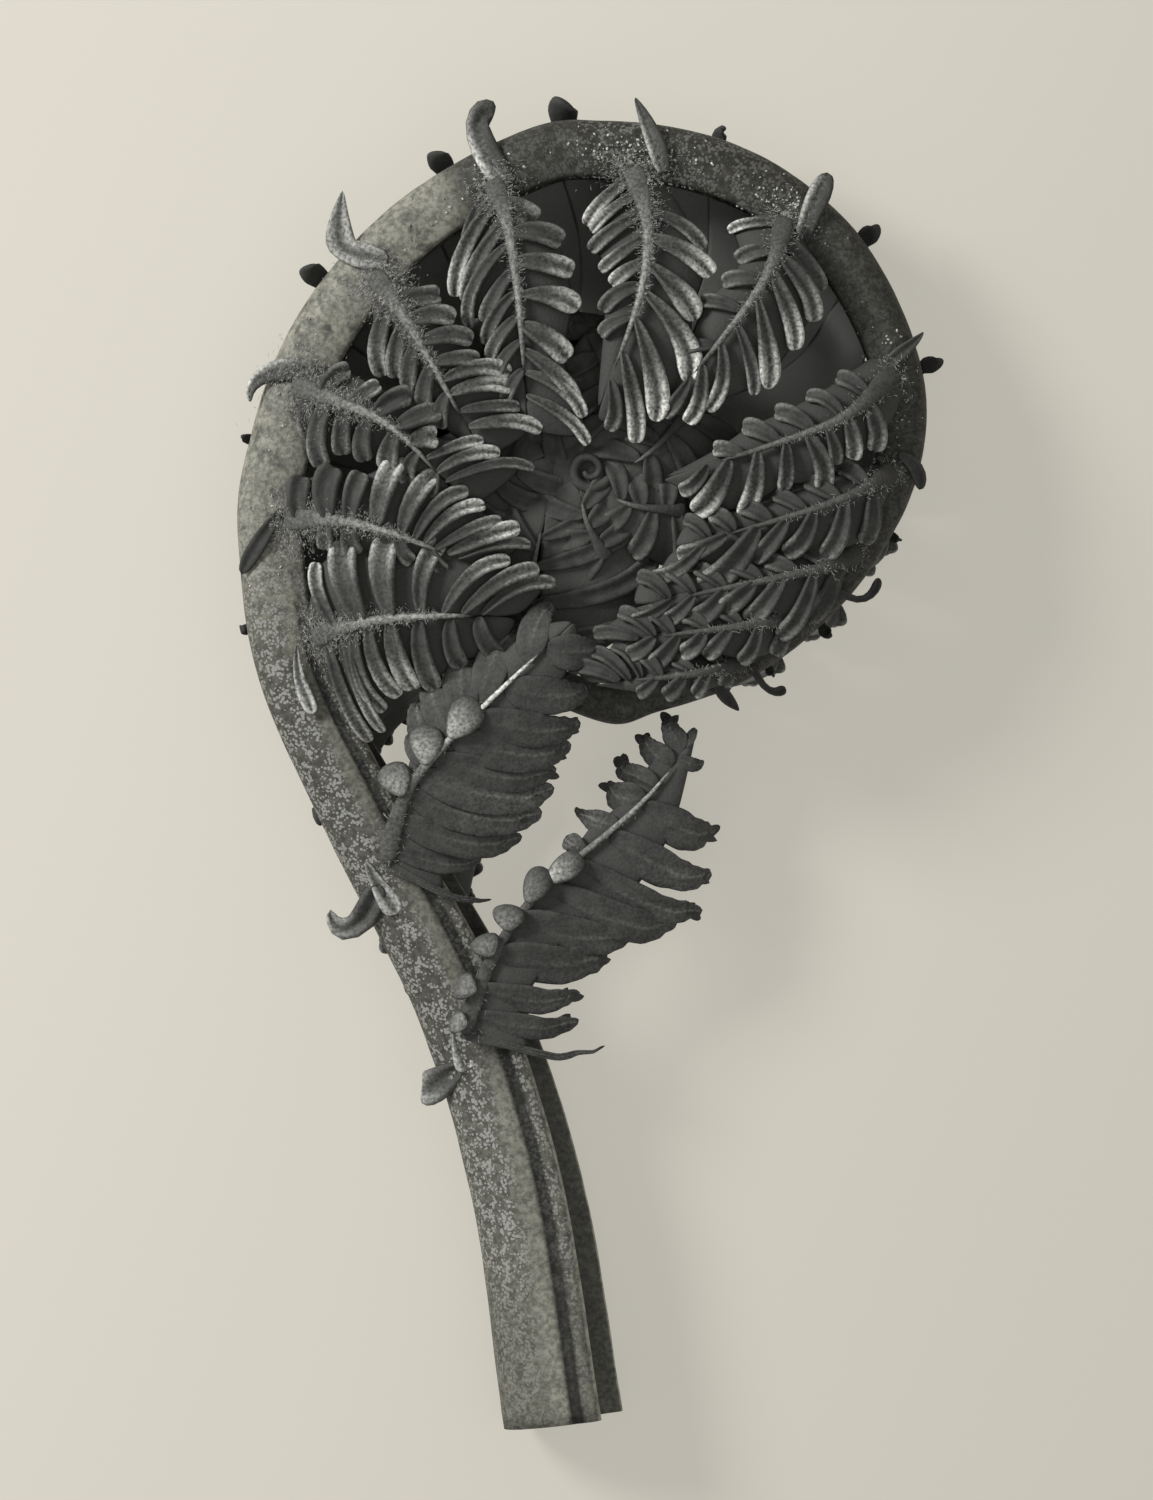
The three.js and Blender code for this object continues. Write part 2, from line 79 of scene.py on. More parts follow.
GIRTH = 0.45  # of the breadth, against the depth, in the skin's own measure
NEAR = 1e-3  # how far each way along a curve its heading is read
MERGE = 1e-4  # points nearer than this are one
MARKS = 600  # places on the outer turn that a side frond's base is matched with


def inner_turn(quarter):
    """How far from the eye the stem's back is after some quarter turns, and at what angle."""
    return EYE_RADIUS * TURN_SHRINK ** quarter, -math.pi / 2 * (1 + quarter)


def spiral():
    points = []
    for i in range(INNER_HALVES + 1):
        radius, angle = inner_turn(i / 2)
        x, y = EYE.x + radius * math.cos(angle), EYE.y + radius * math.sin(angle)
        points.append((x, y, MID, INNER_DEPTH * INNER_DEPTH_SHRINK ** (i / 2)))
    return points


def course(points, t):
    """The smooth curve through the points, at t from 0 to 1."""
    spans = len(points) - 1
    place = min(max(t, 0), 1) * spans
    i = min(int(place), spans - 1)
    w = place - i
    b, c = points[i], points[i + 1]
    a = points[i - 1] if i else b * 2 - c
    d = points[i + 2] if i + 2 <= spans else c * 2 - b
    bend, swing = a * 2 - b * 5 + c * 4 - d, b * 3 - a - c * 3 + d
    return b + (c - a) * (w / 2) + bend * (w * w / 2) + swing * (w ** 3 / 2)


def heading(points, t):
    ahead = course(points, min(1, t + NEAR)) - course(points, max(0, t - NEAR))
    return Vector(ahead[:3]).normalized()


back_line = [Vector(point) for point in STALK_BACK + spiral()]
SPANS = len(back_line) - 1
OUTER_SHARE = len(STALK_BACK) / SPANS


def half_breadth(depth):
    return (BREADTH_GAIN * depth + LEAST_BREADTH) / 2


def stalk_frame(t):
    """Where the stem's back is, the ways in and up, its depth there and how far it is turned."""
    back = course(back_line, t)
    along = heading(back_line, t)
    inward = Vector((along.y, -along.x, 0)).normalized()
    untwist = min(1, t * SPANS / TWIST_POINTS)
    return back.xyz, inward, inward.cross(along), back[3], STALK_TWIST * (1 - untwist * untwist)


def stalk_point(place, u, v, margin=0):
    """A point of the stem's section: u across its breadth, v from its back to the groove."""
    back, inward, up, depth, twist = place
    across = u * (half_breadth(depth) + margin)
    inside = (v - 0.5) * (depth + 2 * margin)
    return (
        back + inward * (depth / 2 + inside * math.cos(twist) - across * math.sin(twist))
        + up * (across * math.cos(twist) + inside * math.sin(twist))
    )


def on_stalk(t, u, v, margin=0):
    return stalk_point(stalk_frame(t), u, v, margin)


marks = [(t, course(back_line, t).xy) for t in (i / MARKS * OUTER_SHARE for i in range(MARKS + 1))]


def nearest_on_stalk(x, y):
    here = Vector((x, y))
    return min(marks, key=lambda mark: (mark[1] - here).length)[0]


def fed(tree, socket, value):
    """A socket is given a value, or joined to another node's output."""
    if isinstance(value, bpy.types.NodeSocket):
        tree.links.new(value, socket)
    else:
        socket.default_value = value


def added(tree, kind, props=None, **sockets):
    """A shader node with its properties set and its sockets fed."""
    made = tree.nodes.new("ShaderNode" + kind)
    for name, value in (props or {}).items():
        setattr(made, name, value)
    for name, value in sockets.items():
        fed(tree, next(s for s in made.inputs if s.name.replace(" ", "_") == name and s.enabled), value)
    return made


MIX_INPUTS, MIX_RESULT = (0, 6, 7), 2  # a Mix node's sockets for colours, among those for other kinds


def mixed(tree, factor, under, over, blend="MIX"):
    """One colour laid over another."""
    made = added(tree, "Mix", {"data_type": "RGBA", "blend_type": blend})
    for i, value in zip(MIX_INPUTS, (factor, under, over)):
        fed(tree, made.inputs[i], value)
    return made.outputs[MIX_RESULT]


def reckoned(tree, operation, a, b, clamp=False):
    made = added(tree, "Math", {"operation": operation, "use_clamp": clamp})
    for socket, value in zip(made.inputs, (a, b)):
        fed(tree, socket, value)
    return made.outputs[0]


def times(tree, a, b, clamp=False):
    return reckoned(tree, "MULTIPLY", a, b, clamp)


def carried(tree, name, output="Fac"):
    """A value that the mesh carries, such as how far up a ridge a point is."""
    return added(tree, "Attribute", {"attribute_name": name}).outputs[output]


def stepped(tree, value, low, high, bottom=0.0, top=1.0):
    """It goes smoothly from bottom to top as the value goes from low to high."""
    ends = {"From_Min": low, "From_Max": high, "To_Min": bottom, "To_Max": top}
    smooth = {"interpolation_type": "SMOOTHSTEP"}
    return added(tree, "MapRange", smooth, Value=value, **ends).outputs[0]


def grey(level):
    """The plant's warm olive grey at a lightness."""
    return (level, level * 0.995, level * 0.93, 1)


def mottle_group():
    """Patches of a given size, as a mask and as a height. It serves skin, leaf, down and scale."""
    group = bpy.data.node_groups.new("mottle", "ShaderNodeTree")
    for way, names in (("INPUT", ("Size", "Low", "High")), ("OUTPUT", ("Mask", "Height"))):
        for name in names:
            group.interface.new_socket(name, in_out=way, socket_type="NodeSocketFloat")
    given = group.nodes.new("NodeGroupInput").outputs
    out = group.nodes.new("NodeGroupOutput").inputs
    place = added(group, "TexCoord").outputs["Object"]
    scale = reckoned(group, "DIVIDE", 1.0, given["Size"])
    cloud = added(group, "TexNoise", Vector=place, Scale=scale, Detail=4.0, Roughness=0.6)
    height = cloud.outputs["Fac"]
    patch = added(group, "MapRange", Value=height, From_Min=given["Low"], From_Max=given["High"])
    group.links.new(patch.outputs[0], out["Mask"])
    group.links.new(height, out["Height"])
    return group


mottle = mottle_group()


def mottled(tree, size, low, high):
    made = added(tree, "Group", {"node_tree": mottle}, Size=size, Low=low, High=high)
    return made.outputs["Mask"], made.outputs["Height"]


def new_material(name, roughness, shine=0.2):
    material = bpy.data.materials.new(name)
    material.use_nodes = True
    shader = material.node_tree.nodes["Principled BSDF"]
    shader.inputs["Roughness"].default_value = roughness
    shader.inputs["Specular IOR Level"].default_value = shine
    return material, material.node_tree, shader


def surfaced(tree, shader, colour, height, strength, depth):
    """The colour and the fine relief are put on the shader."""
    bump = added(tree, "Bump", Height=height, Strength=strength, Distance=depth)
    tree.links.new(colour, shader.inputs["Base Color"])
    tree.links.new(bump.outputs["Normal"], shader.inputs["Normal"])


def spotted(tree, place, scale, disorder):
    """How far each point is from the nearest spot."""
    spots = added(tree, "TexVoronoi", {"feature": "F1"}, Vector=place, Scale=scale, Randomness=disorder)
    return spots.outputs["Distance"]


def ramped(tree, value, stops):
    ramp = added(tree, "ValToRGB", Fac=value)
    elements = ramp.color_ramp.elements
    while len(elements) < len(stops):
        elements.new(0.5)
    for element, (place, level) in zip(elements, stops):
        element.position, element.color = place, grey(level)
    return ramp.outputs["Color"]


PATCH = 0.9 * MM
SKIN_GRAIN, SKIN_RELIEF, PITH_GRAIN = 0.3 * MM, 0.07 * MM, 0.15 * MM
STRANDS = 0.62 / MM
FRECKLES = 5.4  # to a millimetre, each way
# Where along its length the stem becomes the coil, in bands, in patches and in freckles.
COILING, PATCHING, FRECKLING = (0.195, 0.235), (0.2, 0.27, 0.45, 0.8), (0.2, 0.24)
# Places from 0 to 1 and their lightness.
STEM_BANDS = (  # across: back, smooth flank, furrow in painted shade, strip, pale rim, groove in painted shade
    (0, 0.45), (0.12, 0.62), (0.28, 0.75), (0.34, 1.25), (0.4, 1.2), (0.43, 0.12), (0.54, 0.1),
    (0.58, 0.75), (0.66, 0.85), (0.685, 2), (0.74, 2), (0.765, 0.6), (1, 0.5),
)
# On the coil the skin darkens into the groove: painted shade.
COIL_BANDS = ((0, 0.7), (0.06, 0.95), (0.6, 1), (0.68, 1.15), (0.74, 0.8), (0.8, 0.35), (1, 0.2))
# The dip near 0.09 is painted shadow at the low free frond's base. The outer turn is lighter and the young
# turns are darker partly as the skin's own tones and partly as painted light and shade.
TONES = (  # along the way: green-grey stem, bloomed outer turn, then the dark young turns, partly painted shade
    (0, 0.15), (0.08, 0.13), (0.09, 0.08), (0.105, 0.1), (0.19, 0.1), (0.215, 0.15), (0.24, 0.18),
    (0.3, 0.2), (0.337, 0.19), (0.345, 0.032), (0.39, 0.03), (0.45, 0.034), (0.6, 0.03), (1, 0.025),
)
# Pale scurf: freckles, thick on the stem's back and again where the dark young turn begins.
FRECKLED_ACROSS = (
    (0, 0.7), (0.27, 1), (0.31, 0.5), (0.34, 0.1), (0.54, 0.1), (0.58, 0.8), (0.67, 0.7), (0.7, 0.1),
    (1, 0),
)
FRECKLED_ALONG = (
    (0, 0.3), (0.028, 0.45), (0.045, 1), (0.19, 1), (0.22, 0.7), (0.25, 0.2), (0.34, 0.1), (0.352, 0.15),
    (0.375, 0.2), (0.385, 0.6), (0.402, 0.5), (0.43, 0.3), (0.455, 0.12), (1, 0.06),
)


def skin_material():
    material, tree, shader = new_material("stalk skin", 0.6)
    around, run, skin = carried(tree, "around"), carried(tree, "run"), carried(tree, "skin", "Vector")
    stem, coil = ramped(tree, around, STEM_BANDS), ramped(tree, around, COIL_BANDS)
    bands = mixed(tree, stepped(tree, run, *COILING), stem, coil)
    colour = mixed(tree, 1.0, ramped(tree, run, TONES), bands, "MULTIPLY")
    patches, _ = mottled(tree, PATCH, 0.48, 0.66)
    colour = mixed(tree, times(tree, patches, stepped(tree, run, *PATCHING)), colour, grey(0.05))
    fine, grain = mottled(tree, SKIN_GRAIN, 0.4, 0.6)
    colour = mixed(tree, 1.0, colour, mixed(tree, fine, grey(0.68), grey(1.25)), "MULTIPLY")
    size = added(tree, "TexNoise", Vector=skin, Scale=1.2, Detail=2.0)
    reach = stepped(tree, size.outputs["Fac"], 0.32, 0.56, 0.14, 0.56)
    inside = reckoned(tree, "SUBTRACT", reach, spotted(tree, skin, FRECKLES, 1.0))
    inside = stepped(tree, inside, -0.03, 0.08)
    where = mixed(tree, stepped(tree, run, *FRECKLING), ramped(tree, around, FRECKLED_ACROSS), grey(0.75))
    share = times(tree, times(tree, inside, where), ramped(tree, run, FRECKLED_ALONG))
    colour = mixed(tree, times(tree, share, 0.75), colour, grey(0.3))
    height = reckoned(tree, "ADD", times(tree, grain, 0.6), times(tree, share, 0.6))
    surfaced(tree, shader, colour, height, 0.6, SKIN_RELIEF)
    return material


def flesh_material():
    """The cut end: pale wet pith with darker strands."""
    material, tree, shader = new_material("cut flesh", 0.45)
    strand = spotted(tree, added(tree, "TexCoord").outputs["Object"], STRANDS, 0.7)
    fleck, grain = mottled(tree, PITH_GRAIN, 0.35, 0.65)
    colour = mixed(tree, fleck, grey(0.3), grey(0.42))
    colour = mixed(tree, stepped(tree, strand, 0.2, 0.32, 0.7, 0.0), colour, grey(0.08))
    surfaced(tree, shader, colour, grain, 0.4, 0.05 * MM)
    return material


def put(name, data):
    made = bpy.data.objects.new(name, data)
    bpy.context.scene.collection.objects.link(made)
    return made


def placed(name, bm, materials):
    mesh = bpy.data.meshes.new(name)
    bm.to_mesh(mesh)
    bm.free()
    for material in materials:
        mesh.materials.append(material)
    return put(name, mesh)


def finished(name, bm, materials, nodes, rounds=0):
    """The mesh in metres as a piece of the object, standing for its solids."""
    bmesh.ops.recalc_face_normals(bm, faces=bm.faces)
    bmesh.ops.scale(bm, vec=(MM, MM, MM), verts=bm.verts)
    for face in bm.faces:
        face.smooth = True
    made = placed(name, bm, materials)
    if rounds:
        soft = made.modifiers.new("soft form", "SUBSURF")
        soft.levels = soft.render_levels = rounds
    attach(made, "root")
    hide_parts(*nodes)


def grow_stalk():
    bm = bmesh.new()
    floats, vectors = bm.verts.layers.float, bm.verts.layers.float_vector
    around, run, skin = floats.new("around"), floats.new("run"), vectors.new("skin")
    turns = 4 * (len(HALF_SECTION) - 1)
    rings = []
    for profile in (HALF_SECTION, COIL_SECTION):
        half = [Vector(point) for point in profile]
        # From the groove's bed over the back and round again.
        loop = half[::-1] + [Vector((-p.x, p.y)) for p in half[1:]]
        rings.append([course(loop, k / turns) for k in range(turns)])
    grid = bmesh.ops.create_grid(bm, x_segments=turns, y_segments=STALK_STEPS, size=1)
    places = [stalk_frame(j / STALK_STEPS) for j in range(STALK_STEPS + 1)]
    lengths, girths = [0.0], [0.0]
    for a, b in zip(places, places[1:]):
        lengths.append(lengths[-1] + (b[0] - a[0]).length)
    for a, b in zip(rings[0], rings[0][1:]):
        girths.append(girths[-1] + math.hypot((b - a).x * GIRTH, (b - a).y))
    low, high = FURROW_ENDS
    for vert in grid["verts"]:
        k = round((vert.co.x + 1) / 2 * turns) % turns
        j = round((vert.co.y + 1) / 2 * STALK_STEPS)
        closing = min(1, (STALK_STEPS - j) / END_STEPS)
        coiled = min(max((j / STALK_STEPS - low) / (high - low), 0), 1)
        outline = rings[0][k].lerp(rings[1][k], coiled)
        vert.co = stalk_point(places[j], outline.x * closing, 0.5 + (outline.y - 0.5) * closing)
        out = (vert.co - stalk_point(places[j], 0, 0.5)).normalized()
        vert.co += out * sum(noise.noise(vert.co * pace) * part for pace, part in RIPPLES) * SKIN_RIPPLE
        vert.co.z = max(vert.co.z, 0.0)
        vert[around] = abs(1 - 2 * k / turns)
        vert[run] = lengths[j] / lengths[-1]
        vert[skin] = Vector((lengths[j], girths[k] * places[j][3], 0))
    bmesh.ops.remove_doubles(bm, verts=bm.verts, dist=MERGE)
    cap = bmesh.ops.edgeloop_fill(bm, edges=[e for e in bm.edges if e.is_boundary])["faces"]
    for face in bmesh.ops.triangulate(bm, faces=cap)["faces"]:
        face.material_index = 1
    finished("grooved_stalk", bm, [skin_material(), flesh_material()], ["stalk"])


grow_stalk()

# ---- Upper side fronds of the head ----
# Each side frond has a downy midrib and two rows of plump leaflets whose margins are rolled under, so that
# each shows two pale ridges joined round its tip. The first leaflet hooks out round the stem's back.
GAP = 0.3  # between the stem's flank and a side frond's base, which is this thick
BLADE = 0.72
CREST, PINNA_TIP, SHOULDER_DIP = 4.85, 4.3, 0.5  # a midrib's heights over the middle plane
LEAFLET_DROP, REACH = 0.85, 2.6  # how far a tip sinks, and how long a leaflet sinks so far
ARCH = ((0.36, 0.9, 0.12, 0.16), (0.74, 1, 0.08, 0.5))  # way along, bow, rise and sinking of a leaflet
UP = Vector((0, 0, 1))
LEAFLET_SECTION = [  # across, up, how much of a ridge
    (-0.5, 0, 0.35), (-0.36, 0.46, 1), (-0.2, 0.26, 0.3), (0, -0.06, 0), (0.2, 0.26, 0.3),
    (0.36, 0.46, 1), (0.5, 0, 0.35), (0.28, -0.36, 0), (-0.28, -0.36, 0),
]
RIB_SECTION = [
    (-0.5, 0, 0.2), (-0.2, 0.38, 0.8), (0.2, 0.38, 0.8), (0.5, 0, 0.2), (0.3, -0.3, 0), (-0.3, -0.3, 0),
]


def pointed(*stations, joined=1):
    """A form: places along, widths and heights as shares, and how far the ridges have joined."""
    return [(0, 0, 0, 0), *stations, (1, 0, 0, joined)]


FINGER = pointed(
    (0.03, 0.5, 0.6, 0), (0.3, 0.9, 0.85, 0), (0.62, 1, 1, 0), (0.86, 1.02, 1, 0.15),
    (0.97, 0.74, 0.8, 0.8),
)
PADDLE = pointed(
    (0.03, 0.3, 0.5, 0), (0.3, 0.65, 0.75, 0), (0.62, 1, 1, 0), (0.82, 1, 1, 0.2), (0.95, 0.55, 0.7, 0.8),
)
MIDRIB = pointed(
    (0.03, 2.6, 0.8, 0), (0.14, 2.4, 1, 0), (0.25, 1.7, 1, 0), (0.38, 1.3, 1, 0), (0.52, 1, 0.9, 0),
    (0.66, 0.8, 0.9, 0), (0.82, 0.65, 0.8, 0), joined=0,
)
HORN = pointed(
    (0.05, 0.7, 0.8, 0), (0.28, 1.05, 1, 0), (0.46, 1.1, 1, 0), (0.6, 0.95, 1, 0.1),
    (0.8, 0.55, 0.7, 0.4), (0.94, 0.2, 0.4, 0.9),
)
CLAW = pointed(
    (0.06, 0.8, 0.9, 0), (0.3, 1, 1, 0), (0.55, 0.85, 1, 0.1), (0.8, 0.5, 0.7, 0.5),
    (0.94, 0.22, 0.4, 0.9),
)
CURL = pointed(
    (0.05, 0.9, 0.9, 0), (0.35, 1, 1, 0), (0.62, 0.95, 1.1, 0), (0.8, 1.2, 1.9, 0.7),
    (0.93, 1.05, 1.6, 1),
)
SPADE = pointed((0.05, 0.5, 0.7, 0), (0.35, 0.85, 0.8, 0), (0.62, 1, 0.8, 0.2), (0.85, 0.7, 0.6, 0.6))
POD = pointed(
    (0.05, 0.8, 1, 0), (0.4, 0.6, 0.8, 0.2), (0.68, 0.85, 1.1, 0.6), (0.88, 1.05, 1.3, 1),
    (0.97, 0.6, 0.8, 1),
)
COMMA = pointed((0.05, 0.7, 0.9, 0), (0.35, 1, 1.1, 0.4), (0.62, 0.95, 1.1, 0.8), (0.84, 0.45, 0.7, 1))
FRILL = pointed((0.1, 0.6, 0.8, 0), (0.4, 0.9, 0.9, 0.2), (0.75, 1.1, 0.9, 0.5), (0.93, 0.9, 0.7, 0.9))
TONGUE = pointed((0.1, 0.35, 0.6, 0), (0.45, 0.7, 0.8, 0), (0.75, 1, 1, 0.3), (0.92, 0.85, 1, 0.8))
BLOCK = pointed(
    (0.08, 0.8, 1, 0), (0.38, 0.9, 1, 0.2), (0.5, 1.15, 1, 0.5), (0.7, 1.2, 1, 0.6), (0.86, 1.1, 1, 0.8),
    (0.96, 0.8, 0.9, 1),
)
THORN = pointed(
    (0.08, 0.8, 1, 0), (0.38, 1, 1, 0.2), (0.52, 1.3, 1, 0.5), (0.66, 1.1, 1, 0.6), (0.8, 0.8, 1, 0.8),
    (0.93, 0.4, 0.8, 1),
)
RIB_WIDTH = 0.6
JOINED_RISE, JOINED_CREST = 0.34, 0.95  # where the ridges have joined
UNLIT = 0.15  # how much of its down and pale ridges a hook keeps on its side away from the light; the loss is painted shade
RIB_PALE = (0.12, 0.2, 0.32, 0.42, 0.48, 0.52, 0.55, 0.5, 0.25)
LEAFLET_PLUMP = 0.55
LEAFLET_SWELL = 1.17
LUMP, LUMP_PACE = 0.07, 0.9
noise.seed_set(1)  # the lumps come out the same on each run
WEB_HALF, WEB_ROWS, WEB_THICK, WEB_DIP = 4, 8, 0.3, 0.5
SEAM = 0.45  # how far each half of the blade runs under the midrib, less near its tip
TIP_PACE, FOOT_PACE = 6, 4
HOOK_CLEAR, HOOK_FALL = 0.4, 0.3  # over the stem, and how fast it sinks past its back
HOOK_NEAR, RIM_SHARE = 0.06, 0.7
OLDER = 10  # the side fronds after this one are smoother
LEAF_GRAIN, LEAF_RELIEF = 0.19 * MM, 0.07 * MM


def frond(rib, down, hook, look, *leaflets):
    """A midrib in plan and its down, and its hook in plan and how it looks. A leaflet is its place on the
    midrib in percent, its tip, its width and its down in percent, which is partly painted highlight."""
    return {"rib": rib, "down": down, "hook": hook, "look": look, "leaflets": leaflets}


